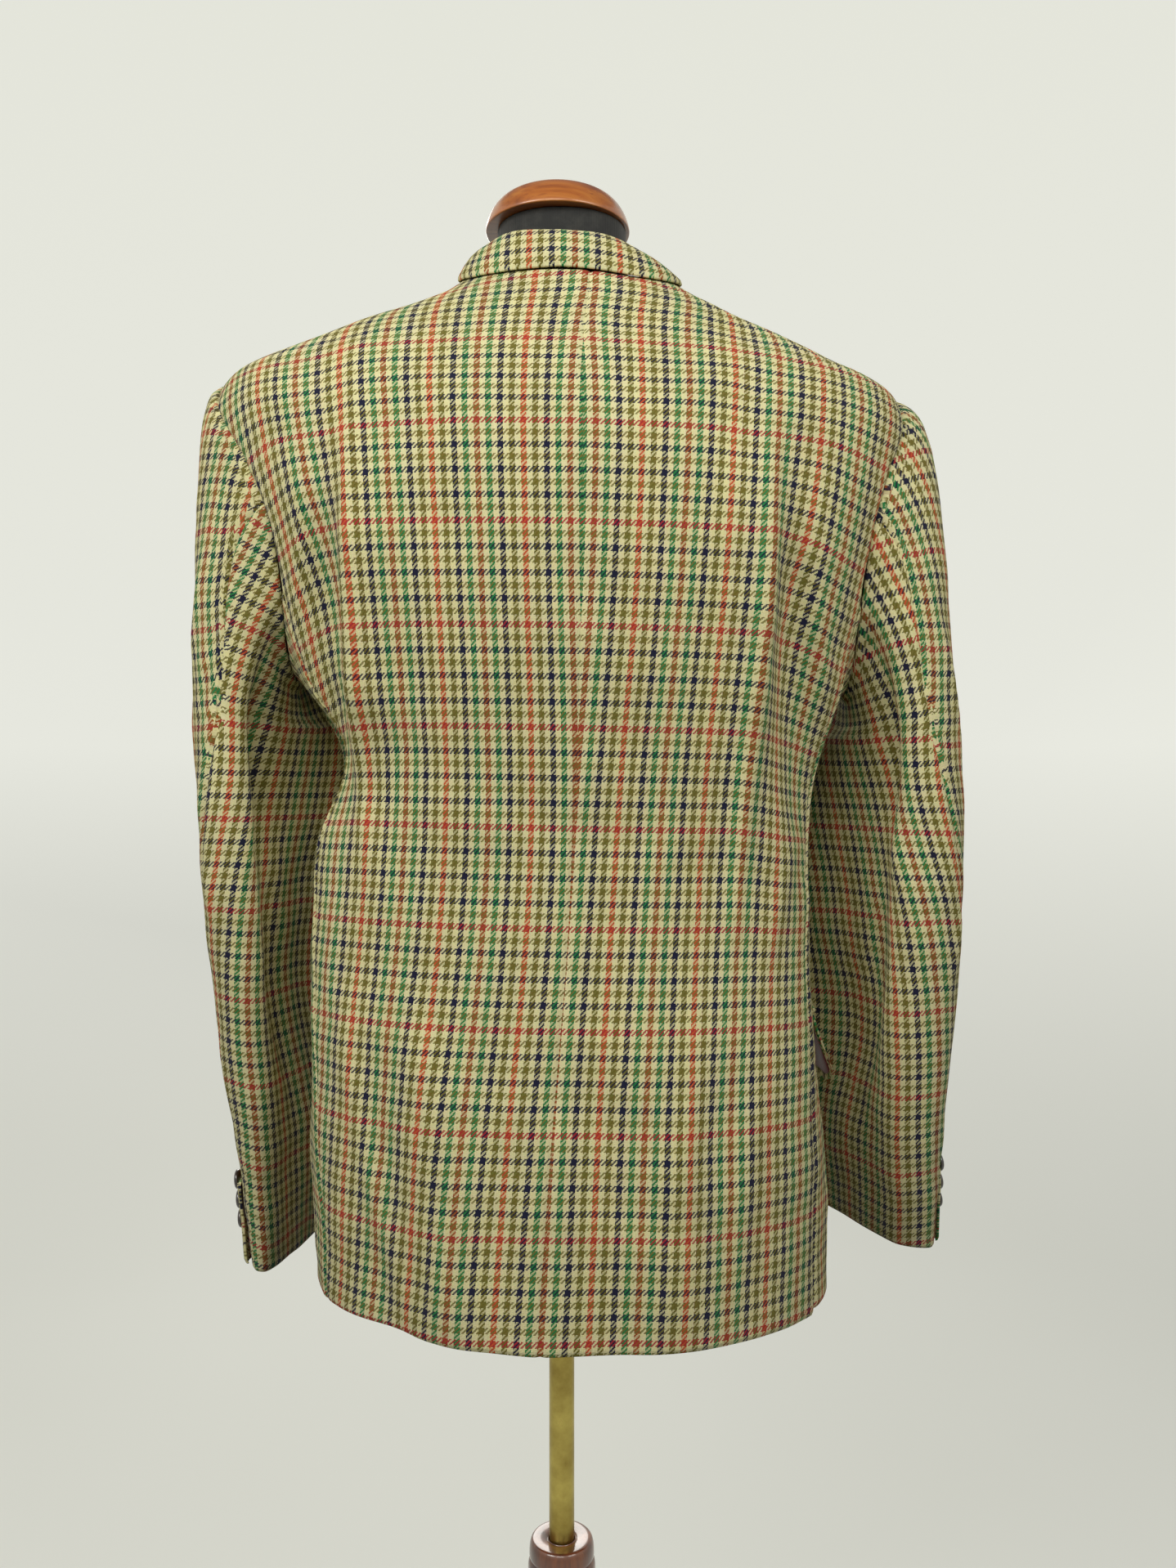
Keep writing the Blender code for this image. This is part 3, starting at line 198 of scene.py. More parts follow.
@dataclass(frozen=True)
class BodySurface:
    """The outer surface of the jacket's body, in level sections that drapes push out and in."""

    hem: float = 0.6125
    front_hem: float = 0.6175
    shoulder_tip: float = 1.270
    neck_point: float = 1.350
    nape_dip: float = 0.012
    tilt: float = 0.020
    front_seam: float = 114.0
    side_seam: float = 65.0
    side_seam_settled: float = 0.850
    overlap_lift: float = 0.0021
    lap_reach: float = 28.0
    lap_ramp: float = 16.0
    lap_top: float = 1.20
    lap_fade: float = 0.08
    hem_rise: tuple[float, float] = (0.0055, 0.0015)
    back_swing: tuple[float, float] = (1.0, 0.80)
    sections: Table = table("height left right back front squareness", """
        .6 .1785 .195 .125 .128 2.1; .66 .1795 .1935 .1245 .129 2.2;
        .72 .1835 .194 .122 .1305 2.3; .79 .1865 .191 .116 .131 2.3;
        .86 .1875 .188 .108 .129 2.3; .93 .185 .188 .1045 .127 2.3; 1 .169 .196 .111 .13 2.35;
        1.05 .194 .208 .118 .134 2.4; 1.1 .205 .218 .1235 .135 2.5;
        1.15 .2215 .231 .126 .131 2.5; 1.2 .24 .244 .1225 .118 2.45;
        1.25 .2515 .2495 .109 .096 2.35; 1.27 .2425 .2395 .1 .085 2.2;
        1.289 .207 .203 .089 .073 2.1; 1.309 .156 .16 .078 .058 2.05;
        1.331 .096 .111 .0665 .039 2; 1.35 .066 .076 .057 .024 2
    """)
    centre_back: Table = table("height across", """
        .6 .012; .75 .003; .9 -.008; 1.05 -.014; 1.35 -.017
    """)
    front_edge: Table = table("height across", """
        .6175 .074; .623 .053; .634 .035; .655 .018; .695 .002; .76 -.011; .85 -.0185; 1 -.02;
        1.09 -.02; 1.125 -.004; 1.205 .028; 1.29 .06; 1.33 .0735; 1.35 .0775
    """)
    armhole_rows: Table = table("turn swing height", """
        90 0 1.27; 65 14 1.25; 45 21.5 1.229; 25 28 1.198; 8 30 1.168; -10 28.5 1.143; -33 24 1.112;
        -52 16.5 1.084; -71 7.5 1.061; -90 0 1.052
    """)
    back_drapes: Table = table("top foot top_across foot_across reach rise", """
        1.215 .96 .122 .134 .019 .0085; 1.18 .93 .158 .16 .022 -.008;
        .86 .56 .1 .062 .02 .006; .82 .56 .138 .105 .02 -.0045;
        1.225 .84 -.12 -.152 .021 .009; 1.17 .9 -.162 -.172 .02 -.0065;
        .88 .55 -.06 -.092 .026 .0045; .84 .55 -.02 -.034 .022 -.0035
    """)
    front_drapes: Table = table("top foot top_across foot_across reach rise", """
        1.19 .95 .12 .13 .024 .006; .9 .56 .085 .11 .026 .005;
        1.2 .93 -.124 -.132 .024 .0064; .86 .56 -.075 -.1 .028 .0052;
        1.06 .9 .03 .075 .012 .0018; 1.04 .9 -.036 -.08 .013 .0018
    """)

    def widths(self, angle: Array, height: Array) -> tuple[Array, Array]:
        """Half width and depth of the section on the side that an angle is on.

        Args:
            angle: Degrees round from the centre back.
            height: Height of the level section.

        Returns:
            Half the width there, and how deep the section is.
        """
        left, right, back, front = self.sections.several("left right back front", height)
        width = np.where(np.sin(np.radians(angle)) >= 0, left, right)
        return width, np.where(np.cos(np.radians(angle)) >= 0, back, front)

    def level_of(self, points: Array) -> Array:
        """Heights of the level sections that points lie on."""
        return points[..., 2] - self.tilt * points[..., 0]

    def drape(self, x: Array, y: Array, height: Array) -> Array:
        """How far the drapes push the cloth out at a place.

        Args:
            x: How far the place is to the wearer's left.
            y: How far it is behind the pole.
            height: Height of the level section.

        Returns:
            The distance outward.
        """
        rise = np.zeros_like(x)
        for drapes, on_side in ((self.back_drapes, y > 0), (self.front_drapes, y < 0)):
            for top, foot, top_across, foot_across, reach, height_of in drapes.rows:
                share = (top - height) / (top - foot)
                across = top_across + (foot_across - top_across) * share
                fade = smooth_step(share * 3) * smooth_step((1 - share) * 3)
                rise += np.where(on_side, height_of * fade * np.exp(-(((x - across) / reach) ** 2)), 0)
        return rise

    def skin(self, angle: Values, height: Values) -> Array:
        """Points of the surface.

        Args:
            angle: Degrees round from the centre back, towards the wearer's left.
            height: Height of the level section.

        Returns:
            A point for each pair.
        """
        angle, height = np.broadcast_arrays(np.asarray(angle, float), np.asarray(height, float))
        width, depth = self.widths(angle, height)
        power = 2 / self.sections.at("squareness", height)
        x = width * powered(np.sin(np.radians(angle)), power)
        y = depth * powered(np.cos(np.radians(angle)), power)
        out_x = powered(x / width, 2 / power - 1) / width
        out_y = powered(y / depth, 2 / power - 1) / depth
        rise = self.drape(x, y, height) / np.hypot(out_x, out_y)
        x, y = x + out_x * rise, y + out_y * rise
        return np.stack([x, y, height + self.tilt * x], axis=-1)

    def at(self, angle: Values, height: Values, out: Values = 0.0) -> Array:
        """Points moved out from the surface along its normal."""
        turn, rise = 0.2, 0.001
        angle, height = np.broadcast_arrays(np.asarray(angle, float), np.asarray(height, float))
        about = self.skin(angle + turn, height) - self.skin(angle - turn, height)
        upward = self.skin(angle, height + rise) - self.skin(angle, height - rise)
        return self.skin(angle, height) + unit(np.cross(upward, about)) * np.asarray(out)[..., None]

    def angle_across(self, side: Array | int, across: Values, height: Array, front: bool) -> Array:
        """The angle at which a section is this far from the middle, towards a side.

        Args:
            side: 1 for the left and -1 for the right.
            across: The distance.
            height: Height of the section.
            front: Whether the place is on the front of the body.

        Returns:
            Degrees round from the centre back.
        """
        across, height = np.asarray(across, float), np.asarray(height, float)
        left, right, squareness = self.sections.several("left right squareness", height)
        width, power = np.where(side * across >= 0, left, right), squareness / 2
        angle = np.degrees(np.arcsin(np.clip(powered(across / width, power), -1, 1)))
        return side * (180 - angle if front else angle)

    def gap_angle(self, angle: Array, height: Array, gap: float) -> Array:
        """The change of angle that moves a point this far round the body."""
        step = self.skin(angle + 0.1, height) - self.skin(angle - 0.1, height)
        return gap / (np.linalg.norm(step, axis=-1) / 0.2)

    def armhole(self, side: Side, turn: Values) -> tuple[Array, Array]:
        """Angle and height of the armhole's edge, for a turn round the sleeve.

        Args:
            side: Which armhole.
            turn: Degrees round the sleeve, with 90 at the shoulder's tip.

        Returns:
            Degrees round from the centre back, and the height of the level section.
        """
        turn = (np.asarray(turn, float) + 90) % 360 - 90
        in_front = turn > 90
        folded = np.where(in_front, 180 - turn, turn)
        swing = self.armhole_rows.at("swing", folded)
        back_share = self.back_swing[0 if side is Side.LEFT else 1]
        swing = np.where(in_front, swing, -swing * back_share)
        swing = np.where(np.abs(np.abs(folded) - 90) < 1e-6, 0, swing)
        return side.value * (90 + swing), self.armhole_rows.at("height", folded)

    def back_side_seam(self, side: Side, height: Array) -> Array:
        """The angle of the seam between the back and the side panel, which runs up to the armhole.

        Args:
            side: Which side.
            height: Height of the level section.

        Returns:
            Degrees round from the centre back.
        """
        angle, top = self.armhole(side, BACK_TURNS[0])
        fallen = smooth_step((top - height) / (top - self.side_seam_settled))
        return side.value * (abs(angle) + (self.side_seam - abs(angle)) * fallen)

    def front_side_seam(self, side: Side, height: Array) -> Array:
        """The angle of the seam between the front and the side panel."""
        return np.full(len(height), side.value * self.front_seam)

    def lap(self, side: Array | int, angle: Array, height: Array) -> Array:
        """How far a front moves out, the left one, or in, the right one, where the fronts lap."""
        near = smooth_step((np.abs(180 - np.abs(angle)) - self.lap_reach) / -self.lap_ramp)
        return side * self.overlap_lift * near * smooth_step((self.lap_top - height) / self.lap_fade)

    def half_width(self, side: Side, y: Array, height: Array) -> Array:
        """How wide the body is on one side, at a distance behind or in front of the pole.

        Args:
            side: Which side.
            y: The distance behind the pole.
            height: Height of the section.

        Returns:
            The distance from the middle to the body's surface.
        """
        width, back, front, power = self.sections.several(side.label + " back front squareness", height)
        depth = np.where(y > 0, back, front)
        return width * np.clip(1 - np.abs(y / depth) ** power, 0, 1) ** (1 / power)


BODY = BodySurface()
# Turns of the armhole's points on the back, under the arm and on the front, in degrees round the sleeve.
BACK_TURNS = (-33.0, -20.0, -7.0, 8.0, 22.0, 38.0, 55.0, 72.0, 90.0)
UNDER_TURNS = (-33.0, -52.0, -71.0, -90.0, -109.0, -128.0, -147.0)
FRONT_TURNS = (213.0, 196.0, 180.0, 165.0, 150.0, 135.0, 120.0, 105.0, 90.0)
# Rows of a back or a front below its armhole, beside it and along the shoulder.
PANEL_ROWS = (136, 52, 24)


# ---------------------------------------------------------------- the sleeves' surface


@dataclass(frozen=True)
class SleeveSurface:
    """The outer surface of one sleeve: a head that leaves the armhole, and level sections below it."""

    side: Side
    rows: Table
    head_lift: float
    head_reach: float
    seams: Table = table("height hind fore", """
        .6 70 -122; .7 68 -124; .8 62 -128; .88 50 -132; .95 28 -136; 1.02 3 -140
    """)
    hind_turn: float = 8.0
    fore_turn: float = -147.0
    squareness: float = 2.4
    head_clear: float = 0.0050
    underarm_ease: float = 0.010
    head_pull: float = 1.2

    @property
    def top(self) -> float:
        """Height of the first level section."""
        return self.rows.rows[0][0]

    @property
    def cuff(self) -> float:
        """Height of the cuff."""
        return self.rows.rows[-1][0]

    def kept_clear(self, x: Array, y: Array, height: Array, clear: Values) -> Array:
        """Distances from the middle, eased out where they are nearer to the body than they should be."""
        beside = BODY.half_width(self.side, y, height) + clear
        return (x + beside + np.sqrt((x - beside) ** 2 + np.asarray(clear) ** 2)) / 2

    def tube(self, turn: Array, height: Array) -> Array:
        """Points of the sleeve below its head.

        Args:
            turn: Degrees round the sleeve.
            height: Height of the level section.

        Returns:
            A point for each pair.
        """
        side = self.side.value
        columns = self.rows.several("outer inner back front skew clear", height)
        outer, inner, back, front, skew, clear = columns
        power = 2 / self.squareness
        run = (back - front) / 2 * powered(np.cos(np.radians(turn)), power)
        y = (back + front) / 2 + run
        x = (outer + inner) / 2 + (outer - inner) / 2 * powered(np.sin(np.radians(turn)), power)
        x = x + skew * run
        eased = self.kept_clear(x, y, height, clear)
        x = np.where(np.sin(np.radians(turn)) < 0, eased, x)
        return np.stack([side * x, y, height + BODY.tilt * side * x], axis=-1)

    def leaving(self, turn: Array) -> tuple[Array, Array, Array, Array]:
        """Start, corner and end of the head's curve down each line of the sleeve.

        Args:
            turn: Degrees round the sleeve, with 90 at its top and -90 at its underside.

        Returns:
            The three points, and how far up the sleeve's top each line is, from 0 to 1.
        """
        step = 0.5
        angle, height = BODY.armhole(self.side, turn)
        edge = BODY.at(angle, height)
        ahead, behind = BODY.armhole(self.side, turn + step), BODY.armhole(self.side, turn - step)
        along = unit(BODY.skin(*ahead) - BODY.skin(*behind))
        normal = BODY.at(angle, height, 1.0) - edge
        beyond = unit(np.cross(along, normal) * -self.side.value)
        end = self.tube(turn, self.top + 0 * turn)
        upward = ((np.sin(np.radians(turn)) + 1) / 2)[..., None]
        level, rise = np.array([1.0, 1.0, 0.0]), axis(1.0)
        corner = edge + (end - edge) * level * (0.5 + (self.head_reach - 0.5) * upward)
        corner = corner + (end - edge) * rise * (0.5 - 0.5 * upward**0.7) + rise * self.head_lift * upward**4
        corner = corner + normal * self.underarm_ease * (1 - upward) ** 2
        leave = corner - edge
        fold = np.arctan2((leave * normal).sum(-1), (leave * beyond).sum(-1))
        fold = np.clip(fold, 0, math.pi)[..., None]
        start = edge + SEAM_GAP * (beyond * np.cos(fold / 2) + normal * np.sin(fold / 2))
        return start, corner, end, upward

    def head(self, turn: Array, share: Array) -> Array:
        """Points from the armhole's edge to the first level section.

        Args:
            turn: Degrees round the sleeve.
            share: How far down the head, from 0 to 1.

        Returns:
            A point for each pair.
        """
        start, corner, end, upward = self.leaving(turn)
        pull = 1 + self.head_pull * upward
        share = share[..., None]
        total = (1 - share) ** 2 + 2 * share * (1 - share) * pull + share**2
        head = ((1 - share) ** 2 * start + 2 * share * (1 - share) * pull * corner + share**2 * end) / total
        clear = self.head_clear * smooth_step(share[..., 0] * 4) * smooth_step((1 - share[..., 0]) * 4)
        x, height = head[..., 0] * self.side.value, BODY.level_of(head)
        low = smooth_step(-np.sin(np.radians(turn)) * 2)
        head[..., 0] += self.side.value * low * (self.kept_clear(x, head[..., 1], height, clear) - x)
        return head

    def skin(self, turn: Values, place: Values) -> Array:
        """Points of the sleeve: place 0 is the armhole, 1 the first level section and 2 the cuff.

        Args:
            turn: Degrees round the sleeve.
            place: How far down it.

        Returns:
            A point for each pair.
        """
        turn, place = np.broadcast_arrays(np.asarray(turn, float), np.asarray(place, float))
        height = self.top + (self.cuff - self.top) * np.clip(place - 1, 0, 1)
        on_tube, on_head = self.tube(turn, height), self.head(turn, np.clip(place, 0, 1))
        return np.where(place[..., None] > 1, on_tube, on_head)

    def at(self, turn: Values, place: Values, out: Values = 0.0) -> Array:
        """Points moved out from the surface along its normal."""
        turn, place = np.broadcast_arrays(np.asarray(turn, float), np.asarray(place, float))
        ahead, behind = np.clip(place + 0.01, 0, 2), np.clip(place - 0.01, 0, 2)
        along = self.skin(turn, ahead) - self.skin(turn, behind)
        about = self.skin(turn + 0.3, place) - self.skin(turn - 0.3, place)
        normal = unit(np.cross(about, along) * self.side.value)
        return self.skin(turn, place) + normal * np.asarray(out)[..., None]

    def seam_turns(self, place: Array) -> tuple[Array, Array]:
        """Turns of the hind and fore seams at a place on the sleeve.

        Args:
            place: How far down the sleeve, from 0 to 2.

        Returns:
            The two turns, in degrees.
        """
        height = self.top + (self.cuff - self.top) * np.clip(place - 1, 0, 1)
        head = smooth_step(place)
        hind, fore = self.seams.several("hind fore", height)
        hind = self.hind_turn + (hind - self.hind_turn) * head
        return hind, self.fore_turn + (fore - self.fore_turn) * head

    def above_cuff(self, up: float) -> float:
        """The place that is this far above the cuff."""
        return 2 - up / (self.top - self.cuff)


SLEEVES = {
    Side.LEFT: SleeveSurface(
        Side.LEFT,
        table("height outer inner back front skew clear", """
            1.02 .2622 .186 .054 -.082 .16 .0035; .95 .261 .184 .051 -.084 .16 .0035;
            .88 .258 .1835 .043 -.091 .16 .0042; .8 .254 .185 .027 -.104 .15 .009;
            .72 .247 .19 .008 -.117 .13 .0065; .66 .243 .199 -.007 -.126 .11 .0035;
            .604 .239 .206 -.02 -.133 .1 .0035
        """),
        head_lift=0.014,
        head_reach=1.06,
    ),
    Side.RIGHT: SleeveSurface(
        Side.RIGHT,
        table("height outer inner back front skew clear", """
            1.02 .2838 .202 .056 -.084 .18 .0035; .95 .2865 .201 .053 -.085 .2 .0035;
            .88 .2868 .2 .046 -.089 .24 .0035; .8 .2815 .2 .031 -.099 .3 .0035;
            .72 .276 .208 .007 -.113 .37 .0035; .66 .276 .222 -.016 -.127 .42 .0035;
            .628 .2765 .228 -.03 -.135 .45 .0035
        """),
        head_lift=0.006,
        head_reach=0.68,
    ),
}


# ---------------------------------------------------------------- meshes


class Edge(Enum):
    """What the border of a piece of cloth is."""

    SEAM = "seam"
    FOLDED = "folded"
    TUCKED = "tucked"


SEAM, FOLDED, TUCKED = Edge
# Depth and reach of the dip; height of the swelling beside it, and where that starts, ends and fades.
EDGE_RELIEF = {
    SEAM: (0.0010, 0.0017, 0.00030, 0.004, 0.013, 0.004),
    FOLDED: (0.0007, 0.0016, 0.00025, 0.003, 0.034, 0.005), TUCKED: (0.0020, 0.0025, 0.0, 1.0, 0.0, 1.0),
}


@dataclass(frozen=True)
class Finish:
    """Names of the materials on a shell's outer and inner face, and of the slot that is logged for it."""

    outer: str
    inner: str
    slot: str


@dataclass
class ClothGrid:
    """A grid of points on the outer face of one cut piece of cloth.

    Rows run along the piece's length and columns across it. Edges and the depths of their facings are given
    as first row, last row, first column and last column.
    """

    points: Array
    away_from: Array
    edges: tuple[Edge, Edge, Edge, Edge]
    home: int = 0
    home_across: Values = 0.0
    level: tuple[float, float] = (0.95, 0.0)
    each_by_height: bool = False
    across_scale: Values = 1.0
    relief: Array | None = None
    thickness: Values = WALL
    facings: tuple[float, float, float, float] = (0.0, 0.0, 0.0, 0.0)
    creases: Table | None = None
    plane: Array | None = None
    turned: Sequence[tuple] = ()
    eased: bool = False
    eased_from: float = 0.93
    eased_over: float = 0.12
    normals: Array = field(init=False)
    sign: float = field(init=False)

    def __post_init__(self) -> None:
        """Finds the outward normals."""
        about, upward = np.gradient(self.points, axis=1), np.gradient(self.points, axis=0)
        normals = unit(np.cross(about, upward))
        self.sign = 1.0 if (normals * (self.points - self.away_from)).sum() > 0 else -1.0
        self.normals = normals * self.sign

    def distances(self) -> tuple[Array, Array, Array, Array]:
        """Distances over the cloth to its first row, last row, first column and last column."""
        down = np.linalg.norm(np.diff(self.points, axis=0), axis=-1)
        across = np.linalg.norm(np.diff(self.points, axis=1), axis=-1)
        up_from = np.concatenate([np.zeros((1, down.shape[1])), np.cumsum(down, axis=0)])
        from_first = np.concatenate([np.zeros((across.shape[0], 1)), np.cumsum(across, axis=1)], axis=1)
        return up_from, up_from[-1] - up_from, from_first, from_first[:, -1:] - from_first

    def edge_relief(self) -> Array:
        """Dips at seams, with the pressed-open turnings beside them, and the soft thick rolls of hems."""
        total = np.zeros(self.points.shape[:2])
        for edge, distance in zip(self.edges, self.distances()):
            dip, reach, swelling, start, end, fade = EDGE_RELIEF[edge]
            total -= dip * np.exp(-((distance / reach) ** 2))
            total += swelling * smooth_step(distance / start) * smooth_step((end - distance) / fade)
        return total

    def crease_relief(self) -> Array:
        """Soft ridges, and troughs where the rise is below zero, that fade out at both ends."""
        total = np.zeros(self.points.shape[:2])
        plane = self.points[..., [0, 2]] if self.plane is None else self.plane
        for across, height, slant, reach, length, rise, bend in self.creases.rows if self.creases else ():
            away = plane - np.array([across, height])
            cos, sin = math.cos(math.radians(slant)), math.sin(math.radians(slant))
            along = (away[..., 1] * cos + away[..., 0] * sin) / (length / 2)
            beside = away[..., 0] * cos - away[..., 1] * sin - bend * along**2
            total += rise * np.clip(1 - along**2, 0, 1) ** 2 * np.exp(-((beside / reach) ** 2))
        for edge, distance in zip(self.edges, self.distances()):
            if edge is SEAM:
                total *= smooth_step(distance / 0.014)
        return total

    def unevenness(self) -> Array:
        """The slight waves, under half a millimetre high, that worn and pressed cloth keeps."""
        total = np.zeros(self.points.shape[:2])
        for along, size, phase in (
            ((31.0, 12.0, 9.0), 0.00035, 0.4), ((-17.0, 26.0, 41.0), 0.00030, 2.1),
            ((58.0, -37.0, 22.0), 0.00020, 4.4), ((24.0, 61.0, -73.0), 0.00015, 1.3),
        ):
            wave = (self.points * np.array(along)).sum(-1) * 2 + phase
            total += size * np.sin(wave + 1.7 * np.sin(wave * 0.37))
        return total

    def flat(self) -> Array:
        """The map of the flat cloth, which keeps the lengths of rows and of the way up each column.

        Returns:
            A pair for each point: how far it is to the right, seen from outside, and up, in metres.
        """
        points = self.points
        above = axis(1.0)
        right = np.cross(above, self.normals)
        toward_right = np.sign((np.gradient(points, axis=1) * right).sum())
        toward_top = np.sign((np.gradient(points, axis=0) * above).sum())
        _, _, first, last = self.distances()
        home = self.home % points.shape[1]
        across = (first - first[:, home : home + 1]) * toward_right * self.across_scale
        across = across + np.broadcast_to(np.asarray(self.home_across, float), (points.shape[0],))[:, None]
        steps = np.linalg.norm(np.diff(points, axis=0), axis=-1)
        sideways = np.diff(across, axis=0)
        steps = np.sqrt(np.maximum(steps**2 - sideways**2, (steps * 0.3) ** 2))
        up = np.concatenate([np.zeros((1, points.shape[1])), np.cumsum(steps, axis=0)]) * toward_top
        flat = np.stack([across, self.levelled(up, home)], axis=-1)
        if self.eased:
            eased, heights = self.relaxed(flat), points[..., 2]
            shared = (heights > self.eased_from) & (heights < self.eased_from + self.eased_over)
            mean, eased_mean = flat[shared].mean(axis=0), eased[shared].mean(axis=0)
            cross = (eased[shared] - eased_mean).T @ (flat[shared] - mean)
            turn = math.atan2(cross[0, 1] - cross[1, 0], cross[0, 0] + cross[1, 1])
            cos, sin = math.cos(turn), math.sin(turn)
            eased = mean + (eased - eased_mean) @ np.array([[cos, sin], [-sin, cos]])
            share = smooth_step((heights - self.eased_from) / self.eased_over)[..., None]
            flat = flat + (eased - flat) * share
        return flat

    def relaxed(self, flat: Array, rounds: int = 500) -> Array:
        """A map eased until lengths along rows, columns and diagonals are nearly those of the cloth.

        Args:
            flat: The map to start from.
            rounds: How often each length is mended.

        Returns:
            The eased map.
        """
        rows = np.unique(np.linspace(0, flat.shape[0] - 1, 44).round().astype(int))
        columns = np.unique(np.linspace(0, flat.shape[1] - 1, 22).round().astype(int))
        start = flat[rows][:, columns]
        points, here = self.points[rows][:, columns], start.copy()
        pairs = (
            (np.s_[:, :-1], np.s_[:, 1:]), (np.s_[:-1, :], np.s_[1:, :]), (np.s_[:-1, :-1], np.s_[1:, 1:]),
            (np.s_[:-1, 1:], np.s_[1:, :-1]),
        )
        spans = [np.linalg.norm(points[far] - points[near], axis=-1, keepdims=True) for near, far in pairs]
        for _ in range(rounds):
            move = np.zeros_like(here)
            for (near, far), span in zip(pairs, spans):
                between = here[far] - here[near]
                mend = between * (1 - span / np.linalg.norm(between, axis=-1, keepdims=True)) / 2
                move[near] += mend
                move[far] -= mend
            here += move * 0.22
        offset = (here - start).transpose(2, 0, 1)
        every_row, every_column = np.arange(flat.shape[0]), np.arange(flat.shape[1])
        wide = [[np.interp(every_column, columns, row) for row in part] for part in offset]
        full = [[np.interp(every_row, rows, column) for column in np.transpose(part)] for part in wide]
        return flat + np.transpose(full, (2, 1, 0))

    def levelled(self, up: Array, home: int) -> Array:
        """Moves the upward measure so that all columns agree at the height that the piece is set by.

        Args:
            up: The way up each column.
            home: The column that sets the others.

        Returns:
            The moved measure.
        """
        height, value = self.level
        heights = BODY.level_of(self.points)
        if self.each_by_height:
            return up - [np.interp(height, own, measure) for own, measure in zip(heights.T, up.T)] + value
        column = heights[:, home]
        order = np.argsort(column)
        row = np.interp(height, column[order], np.arange(len(column))[order])
        low, share = int(np.floor(row)), row % 1
        high = min(low + 1, len(column) - 1)
        at_level = up[low] * (1 - share) + up[high] * share
        return up - at_level[None, :] + value

    def shell(self, name: str, finish: Finish) -> bpy.types.Object:
        """Builds the piece as a thin closed wall with rounded edges and its map.

        Args:
            name: The object's name.
            finish: Its materials and slot.

        Returns:
            The object, in the row's frame.
        """
        rise = self.edge_relief() + self.crease_relief() + self.unevenness()
        if self.relief is not None:
            rise = rise + self.relief
        outer = self.points + self.normals * rise[..., None]
        inner = outer - self.normals * np.broadcast_to(self.thickness, rise.shape)[..., None]
        flat = self.flat()
        for side, ridge, reach, drop, lean in self.turned:
            flat = dropped_beyond(flat, self.points, side, ridge, reach, drop, lean)
        return shell_object(name, outer, inner, flat * MM, finish, self.sign, self.faced())

    def cut(
        self, name: str, finish: Finish, stands_for: str, rests_on: list[str], **more: object
    ) -> bpy.types.Object:
        """Args:
            name: The object's name.
            finish: Its materials and slot.
            stands_for: The CAD node that it replaces.
            rests_on: What holds it. Not used.
            **more: Not used.

        Returns:
            The object.
        """
        piece, flat = self.shell(name, finish), self.flat()
        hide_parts(stands_for)
        return piece

    def faced(self) -> Array:
        """Which faces of the inner side are turned-in cloth rather than lining."""
        facing = np.zeros(self.points.shape[:2], bool)
        for depth, distance in zip(self.facings, self.distances()):
            facing |= (distance < depth) & (depth > 0)
        return (facing[:-1, :-1] & facing[1:, 1:]).ravel()


def dropped_beyond(
    flat: Array, points: Array, side: int, ridge: tuple[float, float, float], reach: float, drop: float,
    lean: float
) -> Array:
    """Slants the weave outside a drape, where the cloth has dropped towards the armhole.

    Args:
        flat: The map.
        points: The points that it belongs to.
        side: 1 on the wearer's left and -1 on the right.
        ridge: The drape's distance from the middle and height, and how far it moves out per metre up.
        reach: How far up and down the slant reaches.
        drop: Rise of the weave per metre outward from the drape.
        lean: Lean of the upright stripes there.

    Returns:
        The new map.
    """
    across, height, slope = ridge
    up = points[..., 2] - height
    beyond = np.clip(points[..., 0] * side - across - slope * up, 0, None)
    soft = beyond**2 / (beyond + 0.004)
    window = np.exp(-((up / reach) ** 2))
    move = np.stack([side * lean * up * smooth_step(beyond / 0.05), drop * soft], -1)
    return flat + move * window[..., None]


